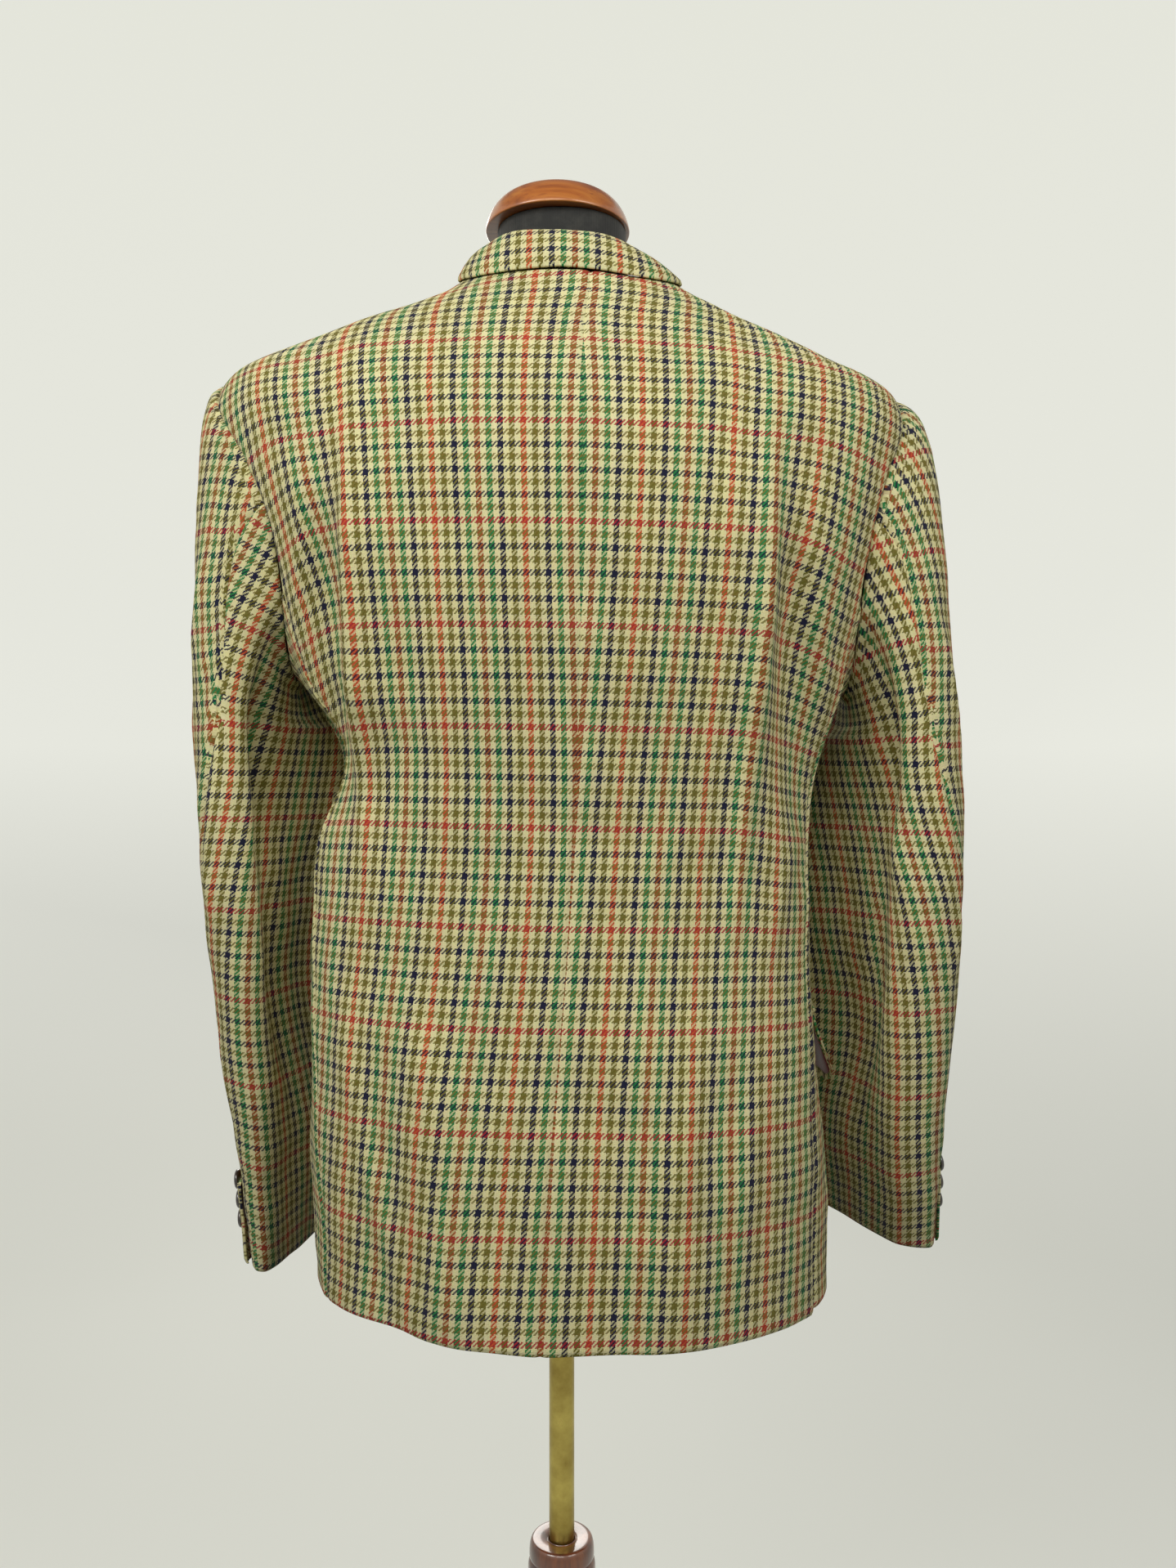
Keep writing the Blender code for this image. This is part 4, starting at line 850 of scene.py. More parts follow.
def shell_object(
    name: str, outer: Array, inner: Array, flat: Array, finish: Finish, sign: float, faced: Array
) -> bpy.types.Object:
    """A closed wall between two grids of points, with a round rim.

    Args:
        name: The object's name.
        outer: Points of the outer face.
        inner: Points of the inner face.
        flat: The map, for both faces.
        finish: Its materials and slot.
        sign: 1 where columns and rows turn outward, and -1 where they turn inward.
        faced: Which inner faces take the outer material.

    Returns:
        The object.
    """
    rows, columns = outer.shape[:2]
    index = np.arange(rows * columns).reshape(rows, columns)
    border = np.concatenate([index[0, :-1], index[:-1, -1], index[-1, :0:-1], index[:0:-1, 0]])
    inside = np.concatenate([index[1, :-1], index[:-1, -2], index[-2, :0:-1], index[:0:-1, 1]])
    all_outer, all_inner = outer.reshape(-1, 3), inner.reshape(-1, 3)
    wall = np.linalg.norm(all_outer[border] - all_inner[border], axis=-1, keepdims=True)
    bulge = unit(all_outer[border] - all_outer[inside]) * wall * 0.32
    rims = [
        all_outer[border] * (1 - share) + all_inner[border] * share + bulge * reach
        for share, reach in ((0.22, 0.8), (0.5, 1.15), (0.78, 0.8))
    ]
    points = np.concatenate([all_outer, all_inner, *rims])
    face = np.stack([index[:-1, :-1], index[:-1, 1:], index[1:, 1:], index[1:, :-1]], -1).reshape(-1, 4)
    count, ring = rows * columns, len(border)
    loops = [border, *[2 * count + k * ring + np.arange(ring) for k in range(3)], border + count]
    rim_faces = []
    for near, far in zip(loops, loops[1:]):
        rim_faces.append(np.stack([np.roll(near, -1), near, far, np.roll(far, -1)], -1))
    faces = np.concatenate([face, face[:, ::-1] + count, *rim_faces])
    if sign < 0:
        faces = faces[:, ::-1]
    maps = flat.reshape(-1, 2)
    maps = np.concatenate([maps, maps, *[maps[border]] * 3])
    mesh = mesh_of(name, points, faces, maps)
    slots = np.zeros(len(faces), np.int32)
    slots[len(face) : 2 * len(face)] = ~faced
    mesh.polygons.foreach_set("material_index", slots)
    for material in (finish.outer, finish.inner):
        mesh.materials.append(bpy.data.materials[material])
    return placed(name, mesh, finish.slot)


def mesh_of(name: str, points: Array, faces: Array, maps: Array | None = None) -> bpy.types.Mesh:
    """A smooth mesh from points and four-sided faces, with the cloth map where there is one.

    Args:
        name: The mesh's name.
        points: Its points.
        faces: The points of each face.
        maps: The map, for each point.

    Returns:
        The mesh.
    """
    mesh = bpy.data.meshes.new(name)
    mesh.vertices.add(len(points))
    mesh.vertices.foreach_set("co", np.asarray(points, np.float32).ravel())
    mesh.loops.add(faces.size)
    mesh.loops.foreach_set("vertex_index", faces.ravel().astype(np.int32))
    mesh.polygons.add(len(faces))
    mesh.polygons.foreach_set("loop_start", np.arange(0, faces.size, faces.shape[1], dtype=np.int32))
    if maps is not None:
        layer = mesh.uv_layers.new(name=CLOTH_MAP)
        layer.uv.foreach_set("vector", maps[faces.ravel()].astype(np.float32).ravel())
    mesh.update(calc_edges=True)
    mesh.validate()
    mesh.shade_smooth()
    return mesh


def in_scene(name: str, data: bpy.types.ID) -> bpy.types.Object:
    """A new object in the scene."""
    thing = bpy.data.objects.new(name, data)
    bpy.context.scene.collection.objects.link(thing)
    return thing


def placed(name: str, mesh: bpy.types.Mesh, slot: str) -> bpy.types.Object:
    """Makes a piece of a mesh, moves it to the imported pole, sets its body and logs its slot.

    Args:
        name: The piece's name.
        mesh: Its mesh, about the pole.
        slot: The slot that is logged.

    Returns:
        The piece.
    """
    mesh.transform(Matrix.Translation(STAND_AT))
    piece = in_scene(name, mesh)
    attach(piece, "root")
    log.info("%s: %d faces in slot %s", name, len(mesh.polygons), slot)
    return piece


def pole_place() -> Vector:
    """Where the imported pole's middle stands on the floor."""
    low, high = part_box("pole")
    return Vector(((low[0] + high[0]) / 2, (low[1] + high[1]) / 2, 0.0))


STAND_AT = pole_place()


def ring_faces(count: int, sides: int, start: int = 0) -> list[list[int]]:
    """Faces of a closed solid through rings of points, with a flat face at each end.

    Args:
        count: How many rings there are.
        sides: How many points each has.
        start: The number of its first point.

    Returns:
        The points of each face.
    """
    index = np.arange(count * sides).reshape(count, sides) + start
    ahead = np.roll(index, -1, axis=1)
    faces = np.stack([index[:-1], ahead[:-1], ahead[1:], index[1:]], -1).reshape(-1, 4).tolist()
    return [*faces, index[0, ::-1].tolist(), index[-1].tolist()]


def ring_object(
    name: str, solids: Sequence[Array], slot: str, material: str, stands_for: str = "", sharp: float = 50.0
) -> None:
    """Builds one piece of closed solids through rings of points.

    Args:
        name: The piece's name.
        solids: The rings of each solid, all of one solid with the same count.
        slot: The slot that is logged.
        material: The name of its material.
        stands_for: The CAD node that it replaces.
        sharp: Degrees between faces from which an edge stays sharp.
    """
    faces: list[list[int]] = []
    for number, rings in enumerate(solids):
        faces += ring_faces(*rings.shape[:2], sum(other.size // 3 for other in solids[:number]))
    mesh = bpy.data.meshes.new(name)
    mesh.from_pydata(np.concatenate([rings.reshape(-1, 3) for rings in solids]).tolist(), [], faces)
    mesh.shade_smooth()
    mesh.set_sharp_from_angle(angle=math.radians(sharp))
    mesh.materials.append(bpy.data.materials[material])
    piece = placed(name, mesh, slot)
    if stands_for:
        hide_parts(stands_for)


def turned_rings(profile: Sequence[tuple[float, float]], sides: int, steps: int = 1) -> Array:
    """Rings of a turned solid.

    Args:
        profile: Radius and height of each point of the outline, foot first.
        sides: How many points each ring has.
        steps: How many rings each stretch of the outline is divided into, along a smooth curve.

    Returns:
        The rings.
    """
    outline = np.array(profile, float)
    if steps > 1:
        outline = np.stack([rounded_through(outline[:, k], steps) for k in (0, 1)], -1)
    return revolved(outline, sides)


def revolved(outline: Array, sides: int) -> Array:
    """Rings about the upright axis from radii and heights."""
    turn = np.linspace(0, 2 * math.pi, sides, endpoint=False)
    radius, height = outline[:, :1], outline[:, 1:]
    return np.stack([radius * np.cos(turn), radius * np.sin(turn), height + 0 * turn], -1)


def rounded_through(values: Array, steps: int) -> Array:
    """A smooth curve through evenly numbered values, with more places in between."""
    last = len(values) - 1
    return curve(np.arange(last + 1), values, np.linspace(0, last, last * steps + 1))


def tube_rings(path: Array, radius: Values, sides: int = 8) -> Array:
    """Rings of a round cord along a path.

    Args:
        path: Points along its middle.
        radius: Its radius, one for all or one for each point.
        sides: How many points each ring has.

    Returns:
        The rings.
    """
    run = unit(np.gradient(path, axis=0))
    beside = unit(np.cross(run, np.array([0.31, 0.17, 0.93])))
    over = np.cross(run, beside)
    turn = np.linspace(0, 2 * math.pi, sides, endpoint=False)[None, :, None]
    radius = np.broadcast_to(np.asarray(radius, float), (len(path),))[:, None, None]
    return path[:, None] + radius * (np.cos(turn) * beside[:, None] + np.sin(turn) * over[:, None])


# ---------------------------------------------------------------- finishes


def linear(shade: str) -> tuple[float, float, float, float]:
    """Turns an sRGB hex colour, such as "c8a060", to linear red, green, blue and an alpha of one."""
    parts = [int(shade[k : k + 2], 16) / 255 for k in (0, 2, 4)]
    return (*[part / 12.92 if part <= 0.04045 else ((part + 0.055) / 1.055) ** 2.4 for part in parts], 1.0)


def add(
    tree: Tree, kind: str, inputs: dict | None = None, output: int | str = 0,
    stops: Iterable[tuple[float, str]] = (), **settings: object
) -> Socket:
    """Adds a node with its settings and links.

    Args:
        tree: The node tree.
        kind: The node's type, without the word ShaderNode.
        inputs: A value or a socket for each input.
        output: The output to return.
        stops: Place and hex colour of each stop of a colour ramp, in rising order.
        **settings: The node's own settings.

    Returns:
        One output socket.
    """
    node = tree.nodes.new("ShaderNode" + kind)
    for name, value in settings.items():
        setattr(node, name, value)
    for number, (at, shade) in enumerate(stops):
        band = node.color_ramp.elements
        stop = band[number] if number < 2 else band.new(at)
        stop.position, stop.color = at, linear(shade)
    for key, value in (inputs or {}).items():
        if isinstance(value, Socket):
            tree.links.new(value, node.inputs[key])
        else:
            node.inputs[key].default_value = value
    return node.outputs[output]


@dataclass(frozen=True)
class Material:
    """A material that draws itself with nodes, at the object's own coordinates in metres."""

    name: str

    def make(self) -> bpy.types.Material:
        """Builds the material under its name."""
        material = bpy.data.materials.new(self.name)
        material.use_nodes = True
        tree = material.node_tree
        tree.nodes.clear()
        shader = add(tree, "BsdfPrincipled", self.look(tree, self.place(tree)))
        tree.links.new(shader, tree.nodes.new("ShaderNodeOutputMaterial").inputs["Surface"])
        return material

    def place(self, tree: Tree) -> Socket:
        """Where a point is for the patterns."""
        return add(tree, "TexCoord", output="Object")

    def look(self, tree: Tree, place: Socket) -> dict[str, object]:
        """Adds the patterns and returns the shader's inputs. Each kind of material has its own."""
        raise NotImplementedError


@dataclass(frozen=True)
class Woven(Material):
    """A cloth drawn yarn by yarn, on its flat map in millimetres."""

    def place(self, tree: Tree) -> Socket:
        """Where a point is on the flat cloth."""
        return add(tree, "UVMap", uv_map=CLOTH_MAP)


@dataclass(frozen=True)
class GunClubTweed(Woven):
    """Woollen 2/2 twill in a gun club check, five yarns of colour to five of ground both ways.

    The spun yarn is hairy, so it is rough and has a pale sheen at grazing angles, and each yarn differs a
    little from the next. The twill lines rise to the right.
    """

    name: str = "woollen_tweed"
    # From one yarn to the next, in millimetres, as in a tweed of about 13 by 12 yarns to the centimetre.
    warp_yarn: float = 0.7716
    weft_yarn: float = 0.829
    group: int = 5
    ground: str = "e4dea9"
    navy: str = "1a1c36"
    olive: str = "70682a"
    green: str = "288048"
    rust: str = "a0542a"
    orange: str = "c85630"
    red: str = "aa2c34"
    soft: str = "7a7238"
    warp_by_ground: float = 0.30
    warp_by_colour: float = 0.07

    def stripes(self, order: Sequence[str]) -> list[tuple[float, str]]:
        """Ramp stops for eight coloured stripes with ground between them."""
        shades = [shade for coloured in order for shade in (coloured, self.ground)]
        return [(k / 16, shade) for k, shade in enumerate(shades)]

    def look(self, tree: Tree, place: Socket) -> dict[str, object]:
        """Adds the patterns and returns the shader's inputs."""
        # Each yarn strays from its line by a few tenths of a millimetre.
        stray = {"Vector": place, "Scale": 0.9, "Detail": 4.0, "Roughness": 0.75}
        waver = add(tree, "TexNoise", stray, output=1)
        shift = add(tree, "VectorMath", {0: waver, 1: (0.5, 0.5, 0.5)}, operation="SUBTRACT")
        bent = add(tree, "VectorMath", {0: shift, 1: (0.9, 0.9, 0.0), 2: place}, operation="MULTIPLY_ADD")
        across, up = add(tree, "SeparateXYZ", {0: bent}).node.outputs[:2]
        warp = add(tree, "Math", {0: across, 1: self.warp_yarn}, operation="DIVIDE")
        weft = add(tree, "Math", {0: up, 1: self.weft_yarn}, operation="DIVIDE")
        warp_order = (
            self.navy, self.green, self.rust, self.green, self.navy, self.olive, self.orange, self.olive,
        )
        weft_order = (self.red, *(self.soft, self.navy) * 3, self.soft)
        shades = []
        for yarn, order in ((warp, warp_order), (weft, weft_order)):
            count = add(tree, "Math", {0: yarn}, operation="FLOOR")
            centred = add(tree, "Math", {0: count, 1: 0.5}, operation="ADD")
            turned = add(tree, "Math", {0: centred, 1: 16.0 * self.group}, operation="DIVIDE")
            share = add(tree, "Math", {0: turned}, operation="FRACT")
            colour = add(tree, "ValToRGB", {"Fac": share}, stops=self.stripes(order))
            colour.node.color_ramp.interpolation = "CONSTANT"
            own = add(tree, "TexWhiteNoise", {"W": count}, output="Color", noise_dimensions="1D")
            parts = {"Factor": 0.10, 6: colour, 7: own}
            shades.append(add(tree, "Mix", parts, output=2, data_type="RGBA", blend_type="OVERLAY"))
        warp_count, weft_count = (add(tree, "Math", {0: yarn}, operation="FLOOR") for yarn in (warp, weft))
        step = add(tree, "Math", {0: warp_count, 1: weft_count}, operation="SUBTRACT")
        quarter = add(tree, "Math", {0: step, 1: 0.25}, operation="MULTIPLY")
        wrapped = add(tree, "Math", {0: quarter}, operation="FRACT")
        warp_up = add(tree, "Math", {0: wrapped, 1: 0.5}, operation="LESS_THAN")
        band = add(tree, "Math", {0: share, 1: 8.0}, operation="MULTIPLY")
        along = add(tree, "Math", {0: band}, operation="FRACT")
        bare = add(tree, "Math", {0: along, 1: 0.5}, operation="GREATER_THAN")
        ends = {0: bare, 1: 0.0, 2: 1.0, 3: self.warp_by_colour, 4: self.warp_by_ground}
        between = add(tree, "MapRange", ends)
        shown = add(tree, "Math", {0: warp_up, 1: between}, operation="MAXIMUM")
        woven = add(tree, "Mix", {"Factor": shown, 6: shades[1], 7: shades[0]}, output=2, data_type="RGBA")
        # Flecks of half a millimetre and clouds of some centimetres, as in cloth dyed in the wool.
        fleck = add(tree, "TexNoise", {"Vector": place, "Scale": 1.6, "Detail": 3.0, "Roughness": 0.8})
        fleck = add(tree, "MapRange", {0: fleck, 1: 0.3, 2: 0.7, 3: 0.80, 4: 1.16})
        mottled = add(tree, "VectorMath", {0: woven, 3: fleck}, operation="SCALE")
        cloud = add(tree, "TexNoise", {"Vector": place, "Scale": 0.02, "Detail": 3.0})
        cloud = add(tree, "MapRange", {0: cloud, 1: 0.3, 2: 0.7, 3: 0.95, 4: 1.05})
        shaded = add(tree, "VectorMath", {0: mottled, 3: cloud}, operation="SCALE")
        rounds = []
        for yarn in (weft, warp):
            part = add(tree, "Math", {0: yarn}, operation="FRACT")
            angle = add(tree, "Math", {0: part, 1: math.pi}, operation="MULTIPLY")
            rounds.append(add(tree, "Math", {0: angle}, operation="SINE"))
        top = add(tree, "Mix", {0: warp_up, 2: rounds[0], 3: rounds[1]}, data_type="FLOAT")
        hair = add(tree, "TexNoise", {"Vector": place, "Scale": 2.4, "Detail": 4.0, "Roughness": 0.7})
        relief = add(tree, "Math", {0: hair, 1: 0.9, 2: top}, operation="MULTIPLY_ADD")
        bump = add(tree, "Bump", {"Strength": 0.8, "Distance": 0.00022, "Height": relief})
        return {
            "Base Color": shaded, "Roughness": 0.92, "IOR": 1.54, "Specular IOR Level": 0.18,
            "Sheen Weight": 0.10, "Sheen Roughness": 0.45, "Sheen Tint": linear("e8e0c0"), "Normal": bump,
        }


@dataclass(frozen=True)
class ViscoseLining(Woven):
    """Burgundy viscose twill lining: smooth, with a soft silky gloss and very fine diagonal lines."""

    name: str = "viscose_lining"
    shade: str = "64161b"
    light: str = "842226"
    line: float = 0.4  # From one line to the next, in millimetres: a little coarse, so that they show.

    def look(self, tree: Tree, place: Socket) -> dict[str, object]:
        """Adds the patterns and returns the shader's inputs."""
        slant = {"Vector": place, "Angle": math.radians(63)}
        turned = add(tree, "VectorRotate", slant, rotation_type="Z_AXIS")
        wave = {"Vector": turned, "Scale": 0.31 / self.line, "Distortion": 0.6, "Detail": 1.0}
        lines = add(tree, "TexWave", wave)
        cloud = add(tree, "TexNoise", {"Vector": place, "Scale": 0.03, "Detail": 4.0})
        colour = add(tree, "ValToRGB", {"Fac": cloud}, stops=((0.3, self.shade), (0.75, self.light)))
        bump = add(tree, "Bump", {"Strength": 0.25, "Distance": 0.00006, "Height": lines})
        return {
            "Base Color": colour, "Roughness": 0.42, "IOR": 1.46, "Sheen Weight": 0.3, "Sheen Roughness": 0.3,
            "Normal": bump,
        }


@dataclass(frozen=True)
class PolishedHorn(Material):
    """Dark polished horn-like polyester: near black, streaked with brown, under a clear gloss."""

    name: str = "polished_horn"
    dark: str = "0f0b0a"
    streak: str = "3a2417"

    def look(self, tree: Tree, place: Socket) -> dict[str, object]:
        """Adds the patterns and returns the shader's inputs."""
        # Streaks about five millimetres across.
        swirl = add(tree, "TexNoise", {"Vector": place, "Scale": 180.0, "Detail": 5.0, "Distortion": 2.2})
        colour = add(tree, "ValToRGB", {"Fac": swirl}, stops=((0.42, self.dark), (0.72, self.streak)))
        return {
            "Base Color": colour, "Roughness": 0.30, "IOR": 1.55, "Coat Weight": 0.7, "Coat Roughness": 0.12,
        }


@dataclass(frozen=True)
class ButtonThread(Material):
    """Twisted polyester thread, with the turns of its plies."""

    name: str = "button_thread"
    shade: str = "2a1f18"

    def look(self, tree: Tree, place: Socket) -> dict[str, object]:
        """Adds the patterns and returns the shader's inputs."""
        # A turn of the plies every third of a millimetre.
        twist = add(tree, "TexWave", {"Vector": place, "Scale": 900.0}, bands_direction="DIAGONAL")
        bump = add(tree, "Bump", {"Strength": 0.5, "Distance": 0.0001, "Height": twist})
        return {"Base Color": linear(self.shade), "Roughness": 0.6, "Sheen Weight": 0.3, "Normal": bump}


@dataclass(frozen=True)
class BlackJersey(Material):
    """Black cotton jersey stretched over the form: matt, with fine upright wales and a little dust."""

    name: str = "black_jersey"
    shade: str = "232423"
    dusty: str = "3e3e3a"
    wale: float = 0.0011  # From one wale to the next, in metres: a little coarse, so that they show.

    def look(self, tree: Tree, place: Socket) -> dict[str, object]:
        """Adds the patterns and returns the shader's inputs."""
        wave = {"Vector": place, "Scale": 0.314 / self.wale, "Distortion": 0.4}
        wales = add(tree, "TexWave", wave, bands_direction="X")
        dust = add(tree, "TexNoise", {"Vector": place, "Scale": 60.0, "Detail": 6.0, "Roughness": 0.7})
        colour = add(tree, "ValToRGB", {"Fac": dust}, stops=((0.45, self.shade), (0.80, self.dusty)))
        bump = add(tree, "Bump", {"Strength": 0.4, "Distance": 0.0002, "Height": wales})
        return {
            "Base Color": colour, "Roughness": 0.95, "Sheen Weight": 0.25, "Sheen Roughness": 0.5,
            "Normal": bump,
        }


@dataclass(frozen=True)
class VarnishedBeech(Material):
    """Stained beech under a thick clear varnish: long grain, short dark flecks and sharp reflections."""

    dark: str
    middle: str
    light: str
    stretch: tuple[float, float, float]  # Streaks of grain to a metre, along each axis.
    coat: float = 1.0
    coat_roughness: float = 0.10

    def look(self, tree: Tree, place: Socket) -> dict[str, object]:
        """Adds the patterns and returns the shader's inputs."""
        long = add(tree, "VectorMath", {0: place, 1: self.stretch}, operation="MULTIPLY")
        streaks = {"Vector": long, "Scale": 1.0, "Detail": 6.0, "Roughness": 0.6, "Distortion": 0.6}
        grain = add(tree, "TexNoise", streaks)
        stops = ((0.30, self.dark), (0.50, self.middle), (0.72, self.light))
        colour = add(tree, "ValToRGB", {"Fac": grain}, stops=stops)
        short = add(tree, "VectorMath", {0: long, 1: (3.0, 3.5, 3.5)}, operation="MULTIPLY")
        pores = add(tree, "TexNoise", {"Vector": short, "Scale": 2.0, "Detail": 3.0})
        dark = add(tree, "MapRange", {0: pores, 1: 0.60, 2: 0.72, 3: 0.0, 4: 0.55})
        parts = {"Factor": dark, 6: colour, 7: linear(self.dark)}
        flecked = add(tree, "Mix", parts, output=2, data_type="RGBA")
        bump = add(tree, "Bump", {"Strength": 0.12, "Distance": 0.0002, "Height": pores})
        return {
            "Base Color": flecked, "Roughness": 0.38, "IOR": 1.5, "Coat Weight": self.coat,
            "Coat Roughness": self.coat_roughness, "Normal": bump,
        }


@dataclass(frozen=True)
class AgedBrass(Material):
    """Drawn brass tube, dulled by handling: satin, with faint lengthwise lines and browner patches."""

    name: str = "aged_brass"
    bright: str = "b5a45a"
    dull: str = "857138"

    def look(self, tree: Tree, place: Socket) -> dict[str, object]:
        """Adds the patterns and returns the shader's inputs."""
        # Lines about a millimetre apart and eight centimetres long, and patches some centimetres wide.
        long = add(tree, "VectorMath", {0: place, 1: (900.0, 900.0, 12.0)}, operation="MULTIPLY")
        drawn = add(tree, "TexNoise", {"Vector": long, "Scale": 1.0, "Detail": 3.0})
        patch = add(tree, "TexNoise", {"Vector": place, "Scale": 26.0, "Detail": 5.0, "Roughness": 0.65})
        colour = add(tree, "ValToRGB", {"Fac": patch}, stops=((0.35, self.bright), (0.70, self.dull)))
        rough = add(tree, "MapRange", {0: patch, 1: 0.3, 2: 0.7, 3: 0.26, 4: 0.42})
        bump = add(tree, "Bump", {"Strength": 0.15, "Distance": 0.0001, "Height": drawn})
        return {"Base Color": colour, "Metallic": 1.0, "Roughness": rough, "Normal": bump}


@dataclass(frozen=True)
class MattPaint(Material):
    """Pale matt wall paint of the studio, with a painted glow that stands in for the light a white room
    throws back, darker towards the floor and lighter up the wall.
    """

    name: str = "matt_paint"
    shade: str = "b4b5af"
    cloudy: str = "b0b1aa"
    # Stops of the painted glow by height: painted shade near the floor, painted light higher up the wall.
    painted_glow_stops: tuple[tuple[float, str], ...] = ((0.0, "a4a59d"), (0.25, "d8d9d1"), (0.8, "dbdcd2"))
    reach: float = 4.4

    def make(self) -> bpy.types.Material:
        """Builds the paint, which isn't sampled as a lamp."""
        material = super().make()
        material.cycles.emission_sampling = "NONE"
        return material

    def look(self, tree: Tree, place: Socket) -> dict[str, object]:
        """Adds the patterns and returns the shader's inputs."""
        cloud = add(tree, "TexNoise", {"Vector": place, "Scale": 1.3, "Detail": 2.0})
        colour = add(tree, "ValToRGB", {"Fac": cloud}, stops=((0.3, self.shade), (0.8, self.cloudy)))
        # Painted glow by height, darker towards the floor and lighter up the wall, given off as emission.
        height = add(tree, "SeparateXYZ", {0: add(tree, "TexCoord", output="Object")}, output=2)
        share = add(tree, "Math", {0: height, 1: self.reach}, operation="DIVIDE")
        painted_glow = add(tree, "ValToRGB", {"Fac": share}, stops=self.painted_glow_stops)
        return {
            "Base Color": colour, "Roughness": 0.95, "Specular IOR Level": 0.2, "Emission Color": painted_glow,
            "Emission Strength": 1.0,
        }


FINISHES = (
    GunClubTweed(), ViscoseLining(), PolishedHorn(), ButtonThread(),
    ButtonThread("buttonhole_twist", "6e6436"), BlackJersey(),
    VarnishedBeech("honey_beech", "7a3a10", "a85e1e", "c27c30", (9.0, 60.0, 90.0), 0.7, 0.18),
    VarnishedBeech("dark_beech", "3c1a0a", "6e3818", "945628", (70.0, 70.0, 9.0)), AgedBrass(), MattPaint(),
)
TWEED_LINED = Finish("woollen_tweed", "viscose_lining", "tweed")
TWEED_BOTH = Finish("woollen_tweed", "woollen_tweed", "tweed")


# ---------------------------------------------------------------- the body's pieces


def rolled_over(points: Array, normals: Array, radius: float, turn: float, steps: int) -> Array:
    """Points of a fold that carries on from a grid's first column, back over its edge and under it.

    Args:
        points: The grid.
        normals: Its outward normals.
        radius: Radius of the fold's outer face.
        turn: Degrees that it turns through.
        steps: How many columns it takes.

    Returns:
        The new columns, to go before the first.
    """
    edge, out = points[:, 0], normals[:, 0]
    along = unit(points[:, 1] - edge)
    out = unit(out - along * (out * along).sum(-1, keepdims=True))
    angle = np.radians(np.linspace(turn, 0, steps + 1)[:-1])[None, :, None]
    centre = (edge - out * radius)[:, None]
    return centre + radius * (out[:, None] * np.cos(angle) - along[:, None] * np.sin(angle))


def outer_edge(
    side: Side, turns: Sequence[float], drop: float, seam_angle: Callable[[Side, Array], Array], inward: int
) -> tuple[Array, Array]:
    """The outer edge of a back or a front: its side seam, the armhole and the shoulder seam.

    Args:
        side: Which side it is on.
        turns: Turns of the armhole's points, from the side seam up.
        drop: How much higher its hem lies than the back's.
        seam_angle: The angle of the side seam at heights.
        inward: 1 or -1, the way round the body that leads into the panel.

    Returns:
        Angle and height of each point.
    """
    below, beside, above = PANEL_ROWS
    top = BODY.armhole(side, turns[0])[1]
    share = edged(below, top - BODY.hem, end=False)[:-1]
    lower = BODY.hem + (top - BODY.hem) * share + drop * (1 - share) ** 3
    armhole = np.interp(np.linspace(0, 8, beside + 1), range(9), turns)
    edge_angles, edge_heights = BODY.armhole(side, armhole)
    rise = BODY.neck_point - BODY.shoulder_tip
    upper = BODY.shoulder_tip + rise * edged(above, rise, start=False)[1:]
    heights = np.concatenate([lower, edge_heights, upper])
    angles = np.concatenate([seam_angle(side, lower), edge_angles, np.full(len(upper), side.value * 90.0)])
    seam = np.ones(len(heights))
    seam[len(lower) : -len(upper) - 1] = 0
    return angles + inward * side.value * seam * BODY.gap_angle(angles, heights, SEAM_GAP / 2), heights


@dataclass(frozen=True)
class BackPanel:
    """Half of the back, from the centre seam to the side seam, the armhole and the shoulder."""

    side: Side
    creases: Table
    seam_stripe: Table
    stretch: Table
    turned: tuple[tuple[float, ...], ...] = ()
    columns: int = 54
    stripe_at_seam: float = 0.01736

    def grid(self) -> ClothGrid:
        """The grid of its outer face."""
        side = self.side.value
        columns = edged(self.columns, 0.19)
        side_top = BODY.armhole(self.side, BACK_TURNS[0])[1]
        outer_angle, heights = outer_edge(self.side, BACK_TURNS, 0.0, BODY.back_side_seam, -1)
        centre = BODY.angle_across(1, BODY.centre_back.at("across", heights), heights, front=False)
        centre = centre + side * BODY.gap_angle(centre, heights, SEAM_GAP / 2)
        angles = centre[:, None] + (outer_angle - centre)[:, None] * columns
        rise = BODY.neck_point - BODY.shoulder_tip
        dip = BODY.nape_dip * smooth_step((heights - BODY.shoulder_tip) / rise)
        hem_rise = BODY.hem_rise[0 if self.side is Side.LEFT else 1]
        lift = hem_rise * np.clip((side_top - heights) / (side_top - BODY.hem), 0, 1) ** 3
        level = heights
        heights = heights[:, None] - dip[:, None] * (1 - columns**2)
        heights = heights + lift[:, None] * smooth_step(columns * 1.6)
        seam_side = self.seam_stripe.at("shift", level) * side
        return ClothGrid(
            BODY.at(angles, heights), away_from=axis(1.0), edges=(FOLDED, TUCKED, SEAM, SEAM), home=0,
            home_across=self.stripe_at_seam + seam_side, level=BAR,
            across_scale=self.stretch.at("scale", level)[:, None], facings=HEM_FACING, creases=self.creases,
            turned=self.turned,
        )

    def build(self) -> None:
        """Builds the panel."""
        self.grid().cut(f"tweed_back_{self.side.label}", TWEED_LINED, f"back_{self.side.label}", ["form"])


